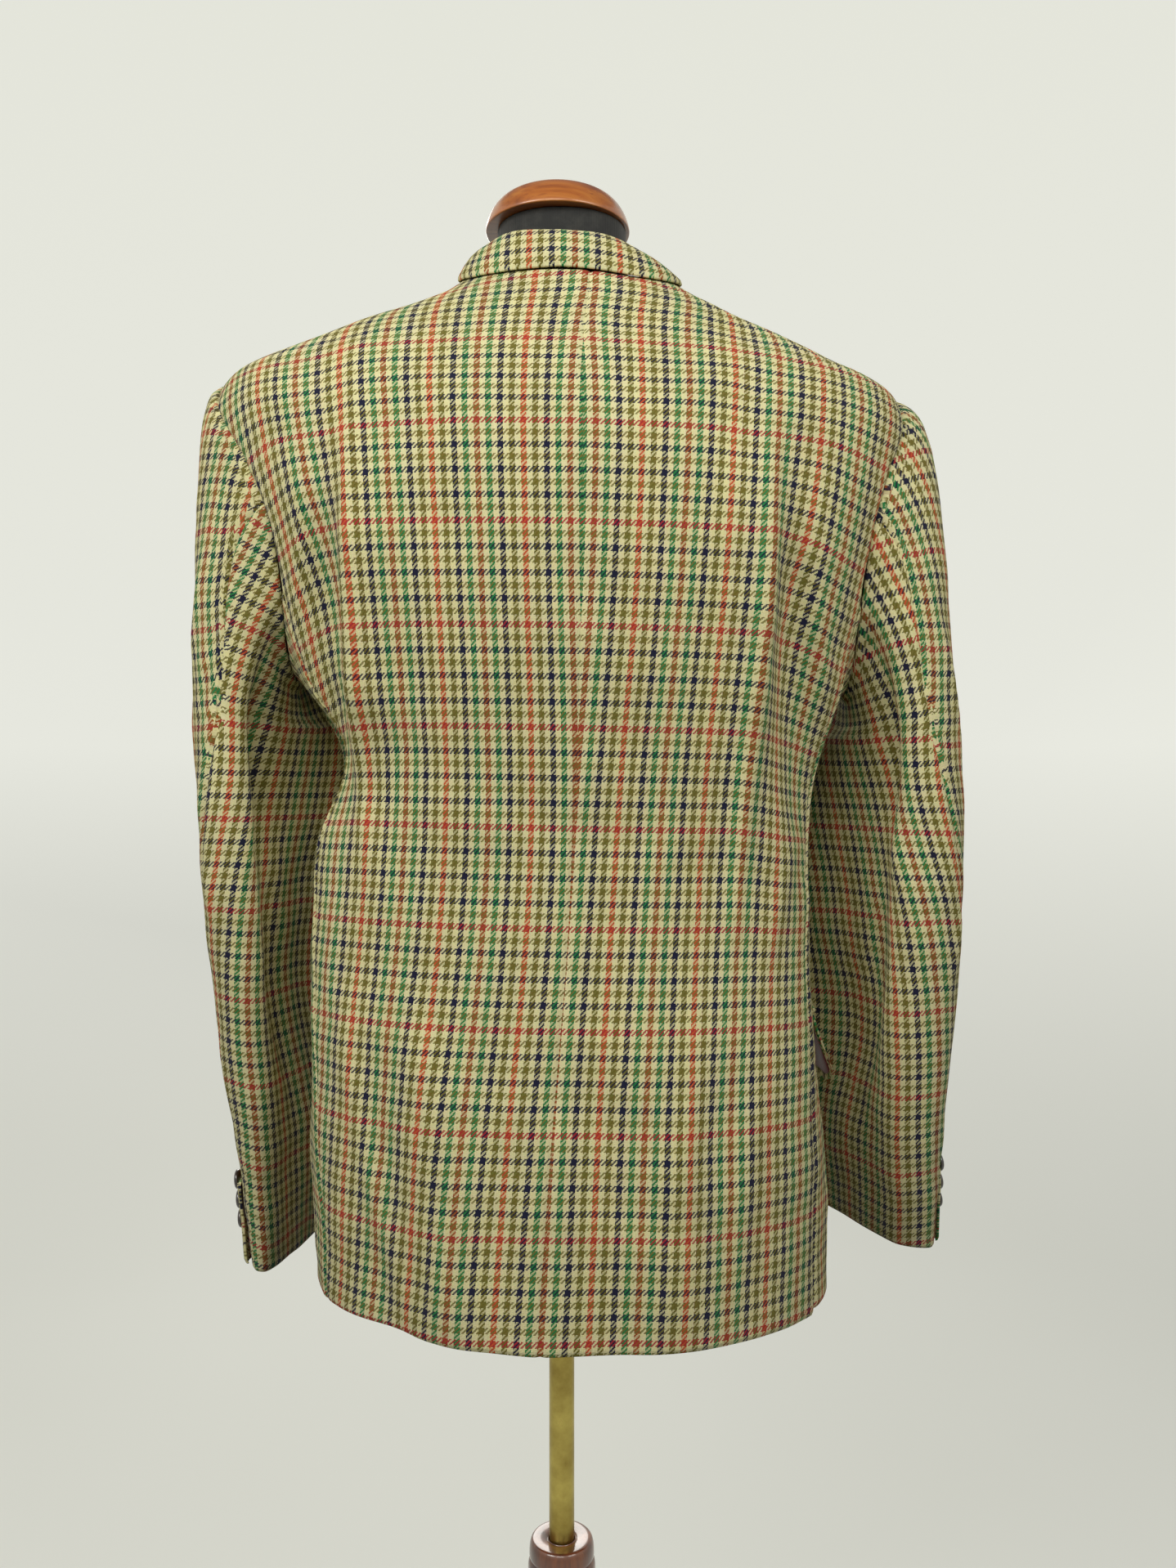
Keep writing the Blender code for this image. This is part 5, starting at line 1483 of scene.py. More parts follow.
@dataclass(frozen=True)
class SidePanel:
    """The underarm panel, between the back and the front."""

    side: Side
    creases: Table
    rows: int = 128
    columns: int = 40
    stripe_place: float = 0.030

    def grid(self) -> ClothGrid:
        """The grid of its outer face."""
        side = self.side.value
        shares = edged(self.columns, 0.14)
        turns = np.interp(shares * 6, range(7), UNDER_TURNS)
        edge_angles, edge_heights = BODY.armhole(self.side, turns)
        share = edged(self.rows, 0.46)[:, None]
        drop = (BODY.front_hem - BODY.hem) * (1 - share) ** 3
        heights = BODY.hem + (edge_heights - BODY.hem) * share + drop
        foot_angles = (BODY.side_seam + (BODY.front_seam - BODY.side_seam) * shares) * side
        angles = foot_angles + (edge_angles - foot_angles) * smooth_step(share * 1.2 - 0.2)
        back, front = BODY.back_side_seam(self.side, heights[:, 0]), side * BODY.front_seam
        to_back, to_front = (back - angles[:, 0])[:, None], (front - angles[:, -1])[:, None]
        angles = angles + to_back * (1 - shares) ** 8 + to_front * shares**8
        gap = BODY.gap_angle(angles, heights, SEAM_GAP / 2)
        angles[:, 0] += side * gap[:, 0]
        angles[:, -1] -= side * gap[:, -1]
        return ClothGrid(
            BODY.at(angles, heights), away_from=axis(0.9), edges=(FOLDED, SEAM, SEAM, SEAM),
            home=len(shares) // 2, home_across=self.stripe_place, level=BAR, each_by_height=True,
            facings=HEM_FACING, creases=self.creases, plane=np.stack([np.abs(angles) * 0.0034, heights], -1),
        )

    def build(self) -> None:
        """Builds the panel."""
        self.grid().cut(f"tweed_side_{self.side.label}", TWEED_LINED, f"side_{self.side.label}", ["form"])


@dataclass(frozen=True)
class Front:
    """A front with its lapel and its slanted pocket flap, all cut from the same tweed."""

    side: Side
    creases: Table
    flap_stand: float
    columns: int = 60
    lapel_from: float = 0.02
    lapel_bow: float = 0.0030
    roll_radius: float = 0.0024
    lapel_rows: Table = table("share roll_height edge_across edge_height", """
        0 1.09 -.017 1.093; .2 1.125 .03 1.112; .4 1.163 .066 1.14; .6 1.205 .092 1.178;
        .8 1.248 .113 1.224; 1 1.29 .124 1.27
    """)
    flap_rear: float = 97.0
    flap_front: float = 147.0
    flap_rear_top: float = 0.812
    flap_front_top: float = 0.850
    flap_depth: float = 0.058
    flap_corner: float = 0.013
    welt_depth: float = 0.0055

    def front_grid(self) -> ClothGrid:
        """The grid of the front's outer face."""
        side = self.side.value
        columns = edged(self.columns, 0.21)
        drop = BODY.front_hem - BODY.hem
        outer_angle, heights = outer_edge(self.side, FRONT_TURNS, drop, BODY.front_side_seam, 1)
        edge = BODY.angle_across(side, BODY.front_edge.at("across", heights), heights, front=True)
        angles = outer_angle[:, None] + (edge - outer_angle)[:, None] * columns
        level = heights[:, None] + 0 * columns
        return ClothGrid(
            BODY.at(angles, level, BODY.lap(side, angles, level)), away_from=axis(1.0),
            edges=(FOLDED, TUCKED, SEAM, FOLDED), home=-1,
            home_across=side * BODY.front_edge.at("across", heights), level=BAR,
            facings=(0.038, 0.0, 0.0, 0.075), creases=self.creases,
        )

    def lapel_grid(self) -> ClothGrid:
        """The grid of the lapel's outer face, with its roll."""
        side = self.side.value
        share = self.lapel_from + (1 - self.lapel_from) * edged(60, 0.24)
        roll_height, edge, edge_height = self.lapel_rows.several("roll_height edge_across edge_height", share)
        roll = BODY.front_edge.at("across", roll_height)
        if self.side is Side.RIGHT:
            roll = np.minimum(np.maximum(roll, 0.0025 - roll), edge - 0.002)
        columns = edged(24, 0.07, start=False)
        across = roll[:, None] + (edge - roll)[:, None] * columns
        heights = roll_height[:, None] + (edge_height - roll_height)[:, None] * columns
        angles = BODY.angle_across(side, across, heights, front=True)
        bow = self.lapel_bow * np.sin(math.pi * columns) * smooth_step(share * 2)[:, None]
        points = BODY.at(angles, heights, BODY.lap(side, angles, heights) + OVERLAY + WALL + bow)
        away_from = axis(1.0)
        flat = ClothGrid(points, away_from, (FOLDED,) * 4)
        roll_points = rolled_over(points, flat.normals, self.roll_radius, ROLL_TURN, 8)
        points = np.concatenate([roll_points, points], axis=1)
        thickness = np.full(points.shape[:2], WALL)
        thickness[:, :10] = 0.0014
        return ClothGrid(
            points, away_from, edges=(FOLDED, FOLDED, TUCKED, FOLDED), home=-1, home_across=0.010,
            level=(1.20, 0.0), thickness=thickness,
        )

    def flap_line(self, columns: Array, rows: Array) -> tuple[Array, Array]:
        """Angles and heights of the flap's slanted top, at shares of its width."""
        angles = self.flap_rear + (self.flap_front - self.flap_rear) * columns + 0 * rows
        return angles, self.flap_rear_top + (self.flap_front_top - self.flap_rear_top) * columns

    def flap_grid(self) -> ClothGrid:
        """The grid of the pocket flap's outer face, with round lower corners and a top that turns in."""
        columns = edged(52, 0.16)
        rows = edged(22, self.flap_depth, end=False)[::-1][:, None]
        rows = 1 - rows[::-1]
        angles, top = self.flap_line(columns, rows)
        inset = np.clip(self.flap_corner - np.minimum(columns, 1 - columns) * 0.165, 0, None)
        raised = self.flap_corner - np.sqrt(np.maximum(self.flap_corner**2 - inset**2, 0))
        heights = top - (self.flap_depth - raised) * rows
        stand = self.flap_stand * (1 - columns * 0.7) * rows**1.2
        tuck = -0.0034 * smooth_step(1 - rows / 0.07)
        out = stand + OVERLAY + WALL + tuck
        return ClothGrid(
            BODY.at(self.side.value * angles, heights, out), away_from=axis(0.85),
            edges=(FOLDED, TUCKED, FOLDED, FOLDED), home=len(columns) // 2, home_across=0.030,
            level=(0.80, 0.0), facings=(0.0045, 0.0, 0.0045, 0.0045),
        )

    def welt_grid(self) -> ClothGrid:
        """The grid of the narrow welt that the flap comes out from under."""
        columns = np.linspace(-0.03, 1.03, 60)
        rows = np.linspace(0, 1, 9)[:, None]
        angles, top = self.flap_line(columns, rows)
        heights = top - 0.0015 + self.welt_depth * rows
        out = 0.0006 + 0.0022 * np.sin(math.pi * (0.12 + 0.84 * rows)) + 0 * columns
        return ClothGrid(
            BODY.at(self.side.value * angles, heights, out), away_from=axis(0.85),
            edges=(SEAM, SEAM, FOLDED, FOLDED), home=30, home_across=0.030, level=(0.82, 0.02),
            thickness=0.0010,
        )

    def build(self) -> None:
        """Builds the front, its lapel, its flap and the flap's welt."""
        label = self.side.label
        front = self.front_grid().cut(f"tweed_front_{label}", TWEED_LINED, f"front_{label}", ["form"]).name
        self.lapel_grid().cut(f"tweed_lapel_{label}", TWEED_BOTH, f"lapel_{label}", [front])
        welt = self.welt_grid().shell(f"pocket_welt_{label}", TWEED_BOTH)
        name, node = f"lined_pocket_flap_{label}", f"pocket_flap_{label}"
        self.flap_grid().cut(name, TWEED_LINED, node, [front], with_pieces=[welt])


@dataclass(frozen=True)
class Collar:
    """A notched collar: the stand round the neck and the fall that rolls over it."""

    overlay: float = 0.0012
    seam_inset: float = 0.0020
    notch: float = 0.045
    notch_from: float = 0.5
    arch: float = 0.0045
    lies_from: float = 0.80
    wall: float = 0.0024
    roll_radius: float = 0.0034
    stand_below_fold: float = 0.0052
    stripe_at_back: float = 0.0072
    curve: Table = table("share seam_angle seam_height fold_x fold_y fold_z edge_angle edge_height", """
        0 0 1.338 0 .052 1.367 0 1.3365; .2 22 1.339 .029 .047 1.3675 20 1.335;
        .4 48 1.343 .05 .029 1.3675 42 1.335; .55 70 1.347 .0585 .01 1.3665 65 1.34;
        .68 90 1.35 .061 -.008 1.362 90 1.3455; .8 112 1.344 .0635 -.026 1.348 116 1.337;
        .9 136 1.32 .065 -.045 1.324 136 1.317; 1 161 1.292 .06 -.0715 1.292 156 1.2795
    """)

    def curves(self, shares: Array) -> tuple[tuple[Array, Array], Array, tuple[Array, Array]]:
        """Seam, fold and edge of the collar.

        Args:
            shares: Places round it, from -1 at the right gorge to 1 at the left.

        Returns:
            The seam's angle and height, the fold's points, and the edge's angle and height.
        """
        side, place = np.where(shares < 0, -1, 1), np.abs(shares)
        columns = self.curve.several(self.curve.columns, place)[1:]
        seam_angle, seam_height, fold_x, fold_y, fold_z, edge_angle, edge_height = columns
        behind = BODY.neck_point - BODY.nape_dip * (1 - (seam_angle / 90) ** 2)
        seam_height = np.where(seam_angle < 90, behind, seam_height)
        beside = BODY.front_edge.at("across", seam_height) - self.seam_inset
        front_angle = BODY.angle_across(side, beside, seam_height, front=True)
        seam_angle = np.where(seam_angle < 90, seam_angle * side, front_angle)
        fold_x = fold_x * side
        fold = np.stack([fold_x, fold_y, fold_z + BODY.tilt * fold_x], axis=-1)
        return (seam_angle, seam_height), fold, (edge_angle * side, edge_height)

    @staticmethod
    def away(points: Array) -> Array:
        """Level directions from the middle of the neck to each point."""
        return unit(points * np.array([1.0, 1.0, 0.0]))

    def fall_points(self, shares: Array, place: Array, out: float) -> Array:
        """Points of the fall, an arch behind the neck that comes to lie flat on the fronts.

        Args:
            shares: Places round the collar.
            place: 0 at the fold and 1 at the edge.
            out: Distance from the fall's inner face.

        Returns:
            The points.
        """
        side = np.where(shares < 0, -1, 1)
        _, fold, (edge_angle, edge_height) = self.curves(shares)
        edge = BODY.at(edge_angle, edge_height, self.overlay + out)
        start = fold + self.away(fold) * out
        lift = axis(self.arch)
        arch = start + (edge - start) * place[..., None] + lift * np.sin(math.pi * place)[..., None]
        across = np.abs(fold[..., 0]) + (np.abs(edge[..., 0]) - np.abs(fold[..., 0])) * place
        fold_height = BODY.level_of(fold)
        height = fold_height + (edge_height - fold_height) * place
        flat = BODY.at(BODY.angle_across(side, across, height, front=True), height, self.overlay + out)
        lying = smooth_step((np.abs(shares) - self.lies_from) / (1 - self.lies_from))[..., None]
        return arch + (flat - arch) * lying

    def fall_grid(self) -> ClothGrid:
        """The grid of the fall's outer face, with the roll over the fold."""
        across = both_ways(edged(88, 0.22, start=False))[:, None]
        place = edged(18, 0.045, start=False)[None, :]
        front = np.clip((np.abs(across) - 0.7) / 0.3, 0, 1)
        cut = self.notch * front * np.maximum(place - self.notch_from, 0) / (1 - self.notch_from)
        points = self.fall_points(across * (1 - cut), place + 0 * across, self.wall)
        away_from = axis(1.30)
        normals = ClothGrid(points, away_from, (FOLDED,) * 4).normals
        roll_points = rolled_over(points, normals, self.roll_radius, ROLL_TURN, 9)
        points = np.concatenate([roll_points, points], axis=1)
        points = points.transpose(1, 0, 2)
        thickness = np.full(points.shape[:2], 0.0020)
        return ClothGrid(
            points, away_from, edges=(TUCKED, FOLDED, FOLDED, FOLDED), home=points.shape[1] // 2,
            home_across=self.stripe_at_back, level=(1.345, 0.030), across_scale=0.966, thickness=thickness,
        )

    def stand_grid(self) -> ClothGrid:
        """The grid of the stand's outer face."""
        shares = both_ways(np.linspace(0, 1, 89))[11:-11]
        (seam_angle, seam_height), fold, _ = self.curves(shares)
        foot = BODY.at(seam_angle, seam_height) + axis(0.0014)
        head = fold - self.away(fold) * 0.0010 - axis(self.stand_below_fold)
        place = np.linspace(0, 1, 10)[:, None, None]
        points = foot + (head - foot) * place - self.away(foot) * 0.0006 * (1 - place)
        return ClothGrid(
            points, away_from=axis(1.32), edges=(SEAM, SEAM, FOLDED, FOLDED), home=points.shape[1] // 2,
            home_across=self.stripe_at_back, level=(1.345, 0.0),
        )

    def build(self) -> None:
        """Builds the fall and the stand."""
        backs = ["back_left", "back_right"]
        self.fall_grid().cut("tweed_collar_fall", TWEED_BOTH, "collar", backs)
        self.stand_grid().cut("tweed_collar_stand", TWEED_BOTH, "collar_stand", backs)


# ---------------------------------------------------------------- sleeves


@dataclass(frozen=True)
class Sleeve:
    """A two-piece sleeve with a cuff vent, its three buttons and their mock buttonholes."""

    side: Side
    creases: Table
    stripe_top: float
    stripe_under: float
    round_step: float = 0.00105
    head_rows: int = 44
    tube_rows: int = 92
    hang_from: float = 1.09
    inner_hang: float = 0.026
    inner_draw: float = 0.020
    draw_from: float = 0.70
    vent_height: float = 0.068
    vent_ramp: float = 0.014
    vent_lap: float = 17.0
    vent_lift: float = 0.0040
    vent_flare: float = 0.0036
    buttons: int = 3
    button_pitch: float = 0.0160
    button_from: float = 0.0340
    button_turn: float = 66.0

    @property
    def surface(self) -> SleeveSurface:
        """The surface that the sleeve is read from."""
        return SLEEVES[self.side]

    def places(self) -> Array:
        """Rows from the armhole to the cuff, closer together at the seam, the vent's top and the cuff."""
        surface = self.surface
        head = edged(self.head_rows, 0.16, end=False) ** 0.85
        vent = surface.above_cuff(self.vent_height + self.vent_ramp)
        tube = np.linspace(1, vent, self.tube_rows + 1)[1:]
        ups = np.concatenate([
            np.linspace(self.vent_height + self.vent_ramp, self.vent_height, 6)[1:],
            np.linspace(self.vent_height, self.vent_height - 0.004, 5)[1:],
            (self.vent_height - 0.004) * (1 - edged(18, self.vent_height, start=False)[1:]),
        ])
        return np.concatenate([head, tube, surface.above_cuff(ups)])[:, None]

    def open_seams(self, turns: Array, place: Array, inward: int) -> None:
        """Draws a grid's first and last columns in by half the gap at a seam.

        Args:
            turns: Degrees round the sleeve, for each point.
            place: Place down it, for each row.
            inward: 1 or -1, the way round that leads into the piece from its first column.
        """
        for column, way in ((0, inward), (-1, -inward)):
            turn, step = turns[:, column], 0.2
            span = self.surface.skin(turn + step, place) - self.surface.skin(turn - step, place)
            turns[:, column] += way * (SEAM_GAP / 2 / (np.linalg.norm(span, axis=-1) / (2 * step)))

    def grid(self, turns: Array, place: Array, out: Array, home: int, stripe: float) -> ClothGrid:
        """A grid of one sleeve piece.

        Args:
            turns: Degrees round the sleeve, for each point.
            place: Place down it, for each row.
            out: How far each point stands off the surface.
            home: The column that the weave is set by.
            stripe: The weave's place there.

        Returns:
            The grid.
        """
        surface, side = self.surface, self.side.value
        points = surface.at(turns, place + 0 * turns, out)
        points[0] = surface.leaving(turns[0])[0]
        heights, beside = BODY.level_of(points), side * points[..., 0]
        outer, inner, back, front = surface.rows.several("outer inner back front", heights)
        # The side next to the body hangs forward, and behind it is drawn outward, away from the body.
        toward_body = (outer - beside) / (outer - inner)
        behind = smooth_step((0.80 - (back - points[..., 1]) / (back - front)) / 0.65)
        hanging = smooth_step((self.hang_from - heights) / 0.13)
        points[..., 1] -= self.inner_hang * hanging * smooth_step((toward_body - 0.35) / 0.65)
        drawn = self.inner_draw * hanging * smooth_step(place)
        drawn = drawn * smooth_step((heights - self.draw_from) / 0.14)
        points[..., 0] += side * drawn * behind * smooth_step((toward_body - 0.52) / 0.42)
        # Outward is away from the sleeve's own middle.
        centre = points.mean(axis=1, keepdims=True)
        centre[..., 0] = side * sum(surface.rows.several("outer inner", centre[..., 2])) / 2
        level = BODY.level_of(points)
        rows = tuple((turn * self.round_step, *rest) for turn, *rest in self.creases.rows)
        return ClothGrid(
            points, away_from=centre, edges=(SEAM, FOLDED, SEAM, SEAM), home=home, home_across=stripe,
            level=BAR, facings=(0.0, 0.040, 0.0, 0.0), creases=Table(self.creases.columns, rows),
            plane=np.stack([turns * self.round_step, level], -1), eased=True,
        )

    def top_grid(self) -> ClothGrid:
        """The grid of the outer piece, with the lap of its vent."""
        shares, place = edged(66, 0.23), self.places()
        hind, fore = self.surface.seam_turns(place)
        cuff = (2 - place) * (self.surface.top - self.surface.cuff)
        lifted = smooth_step((self.vent_height + self.vent_ramp - cuff) / self.vent_ramp)
        lapped = smooth_step((self.vent_height - cuff) / 0.004)
        turns = hind + (fore + 360 - hind) * shares
        self.open_seams(turns, place[:, 0], 1)
        near_edge = smooth_step(1 - shares / 0.28)
        turns = turns - self.vent_lap * lapped * (1 - shares) ** 6
        lift = self.vent_lift * lifted + self.vent_flare * np.clip(1 - cuff / self.vent_height, 0, 1)
        return self.grid(turns, place, lift * near_edge, len(shares) // 3, self.stripe_top)

    def under_grid(self) -> ClothGrid:
        """The grid of the inner piece."""
        shares, place = edged(46, 0.15), self.places()
        hind, fore = self.surface.seam_turns(place)
        turns = hind + (fore - hind) * shares
        self.open_seams(turns, place[:, 0], -1)
        return self.grid(turns, place, 0 * turns, len(shares) // 3, self.stripe_under)

    def build(self) -> None:
        """Builds both pieces, the buttons and the mock buttonholes."""
        label = self.side.label
        for word, grid in (("top", self.top_grid()), ("under", self.under_grid())):
            holders = ["back_" + label, "front_" + label]
            grid.cut(f"tweed_{word}_sleeve_{label}", TWEED_LINED, f"{word}sleeve_{label}", holders)
        turn = np.array(self.button_turn)
        for number in range(1, self.buttons + 1):
            up = self.button_from + (number - 1) * self.button_pitch
            place = np.array(self.surface.above_cuff(up))
            stand = 0.86 * (self.vent_lift + self.vent_flare * (1 - up / self.vent_height)) + 0.0006
            at = self.surface.at(turn, place, stand)
            outward = self.surface.at(turn, place, 1.0) - self.surface.at(turn, place, 0.0)
            name = f"cuff_button_{label}_{number}"
            HornButton(0.0075).build(name, at, outward)
            turns = turn + np.linspace(-2.0, 16.0, 24)
            line = self.surface.at(turns, place + 0 * turns, stand - 0.0006 + 0.0002)
            buttonhole(f"cuff_buttonhole_{label}_{number}", line, outward)


# ---------------------------------------------------------------- buttons


@dataclass(frozen=True)
class HornButton:
    """A domed four-hole button with a raised rim, sewn on with crossed thread and a short shank."""

    radius: float
    hole_radius: float = 0.0009
    hole_reach: float = 0.0017
    hole_depth: float = 0.0012
    dish_rise: float = 0.365
    sides: int = 72
    thread_radius: float = 0.00032
    rim: Table = table("radius rise", """
        .01 0; .5 0; .84 .01; .95 .06; 1 .15; 1 .24; .965 .34; .9 .41; .8 .445; .7 .44;
        .6 .405; .5 .375; .4 .365
    """)

    def outline(self) -> Array:
        """Radius and rise, as shares of the radius, from the back's middle out and over to the dish."""
        rim = np.stack([rounded_through(self.rim.column(name), 3) for name in ("radius", "rise")], -1)
        dish = np.linspace(0.39, 0.01, 16)
        return np.concatenate([rim, np.stack([dish, self.dish_rise + 0 * dish], -1)])

    def build(self, name: str, at: Array, outward: Array) -> None:
        """Builds the button and its thread.

        Args:
            name: The CAD node that it stands for.
            at: The middle of its back.
            outward: Which way it faces.
        """
        outline = self.outline() * self.radius
        rings = revolved(outline, self.sides)
        front = (np.arange(len(outline)) > 8)[:, None]
        for quarter in range(4):
            angle = math.pi / 4 + quarter * math.pi / 2
            middle = self.hole_reach * math.cos(angle), self.hole_reach * math.sin(angle)
            away = np.hypot(rings[..., 0] - middle[0], rings[..., 1] - middle[1])
            rings[..., 2] -= self.hole_depth * front * smooth_step((self.hole_radius - away) / 0.0003 + 0.5)
        place = np.array(Vector(outward).to_track_quat("Z", "Y").to_matrix())
        at = np.asarray(at, float)
        ring_object("horn_" + name, [rings @ place.T + at], "button_horn", "polished_horn", name)
        self.sew(name, place, at)

    def sew(self, name: str, place: Array, at: Array) -> None:
        """Adds two parallel turns of thread between the holes, and the shank behind.

        Args:
            name: The button's name.
            place: The turn that makes it face outward.
            at: The middle of its back.
        """
        top = self.dish_rise * self.radius
        reach = self.hole_reach * math.cos(math.pi / 4)
        tubes = []
        for beside in (-1, 1):
            for strand in (-0.00030, 0.00030):
                along = np.linspace(-1, 1, 13)
                path = np.stack(
                    [
                        along * reach, beside * reach + strand + 0 * along,
                        top + 0.00045 * (1 - along**2) - 0.0009 * np.abs(along) ** 6,
                    ],
                    -1,
                )
                tubes.append(tube_rings(path, self.thread_radius))
        shank = np.stack([np.zeros(4), np.zeros(4), np.linspace(0.0001, -0.0016, 4)], -1)
        tubes.append(tube_rings(shank, np.array([0.0016, 0.0013, 0.0013, 0.0018])))
        tubes = [tube @ place.T + at for tube in tubes]
        ring_object("thread_" + name, tubes, "button_horn", "button_thread", sharp=60.0)


def buttonhole(name: str, line: Array, outward: Array) -> None:
    """A buttonhole worked in thread, in two close rows of stitches with a bar at one end and an eye.

    Args:
        name: The object's name.
        line: Points along its middle.
        outward: Which way the cloth faces.
    """
    run = unit(np.gradient(line, axis=0))
    beside = unit(np.cross(unit(np.asarray(outward, float)), run)) * 0.0008
    eye = np.exp(-(((np.arange(len(line)) - 2) / 2.2) ** 2))[:, None] * 0.7 + 1
    loop = np.concatenate([line + beside * eye, (line - beside * eye)[::-1], (line + beside * eye)[:2]])
    ring_object(name, [tube_rings(loop, 0.00055)], "tweed", "buttonhole_twist", sharp=60.0)


@dataclass(frozen=True)
class FrontFastening:
    """Three buttons down the front's middle, each in a buttonhole of the left front."""

    radius: float = 0.0105
    heights: tuple[float, ...] = (0.880, 0.980, 1.075)
    hole_length: float = 0.024

    def build(self) -> None:
        """Builds the buttons and their buttonholes."""
        middle = np.array(180.0)
        for number, height in enumerate(self.heights, 1):
            level = np.array(height)
            out = float(BODY.lap(1, middle, level))
            at = BODY.at(middle, level, out + 0.0012)
            outward = BODY.at(middle, level, 1.0) - BODY.at(middle, level)
            HornButton(self.radius).build(f"front_button_{number}", at, outward)
            across = np.linspace(-0.003, self.hole_length - 0.003, 30)
            angles = BODY.angle_across(1, across, level, front=True)
            buttonhole(f"front_buttonhole_{number}", BODY.at(angles, level, out + 0.0003), outward)


# ---------------------------------------------------------------- dress form and stand


@dataclass(frozen=True)
class DressForm:
    """The black jersey bust and the varnished cap on its neck."""

    squareness: float = 2.15
    sides: int = 112
    cap_foot: float = 1.3882
    cap_radius: float = 0.0533
    cap_at: tuple[float, float] = (0.0030, 0.0)
    cap_rows: Table = table("inset rise", """
        2 0; .5 .3; 0 1.4; .8 5; 2.6 9.8; 5.6 15; 10.5 20; 18.122 23.8; 28.782 26.2; 41.574 27.5; 52.234 27.6
    """)
    rows: Table = table("height width back front", """
        .69 .11 .066 .07; .693 .138 .088 .092; .706 .152 .099 .102; .77 .16 .103 .11;
        .85 .154 .094 .106; .93 .142 .086 .101; 1 .142 .09 .106; 1.08 .164 .101 .113;
        1.15 .18 .105 .11; 1.21 .197 .101 .096; 1.245 .206 .094 .082; 1.264 .205 .086 .07;
        1.279 .19 .08 .062; 1.293 .168 .073 .057; 1.306 .138 .066 .051; 1.319 .104 .059 .047;
        1.33 .077 .053 .046; 1.342 .058 .049 .048; 1.356 .049 .046 .0465;
        1.3878 .0475 .0455 .046
    """)

    def bust(self) -> None:
        """Builds the bust, stretched with jersey that is sewn up the centre back."""
        places = self.rows.column("height")
        count = len(places) - 1
        heights = np.interp(np.linspace(0, count, count * 6 + 1), range(count + 1), places)
        turn = np.linspace(0, 2 * math.pi, self.sides, endpoint=False)
        power = 2 / self.squareness
        width, back, front = (column[:, None] for column in self.rows.several("width back front", heights))
        depth = np.where(np.cos(turn) > 0, back, front)
        seam = 1 - 0.004 * np.exp(-((np.abs((turn + math.pi) % (2 * math.pi) - math.pi) / 0.03) ** 2))
        x, y = width * powered(np.sin(turn), power) * seam, depth * powered(np.cos(turn), power) * seam
        rings = np.stack([x, y, heights[:, None] + 0 * x], -1)
        ring_object("jersey_bust", [rings], "form_jersey", "black_jersey", "form")

    def cap(self) -> None:
        """Builds the neck cap."""
        radius, foot = self.cap_radius, self.cap_foot
        outline = [(radius - inset / MM, foot + rise / MM) for inset, rise in self.cap_rows.rows]
        rings = turned_rings(outline, 96, 4) + np.array([*self.cap_at, 0.0])
        ring_object("beech_neck_cap", [rings], "cap_beech", "honey_beech", "neck_cap")

    def build(self) -> None:
        """Builds the bust and its cap."""
        self.bust()
        self.cap()


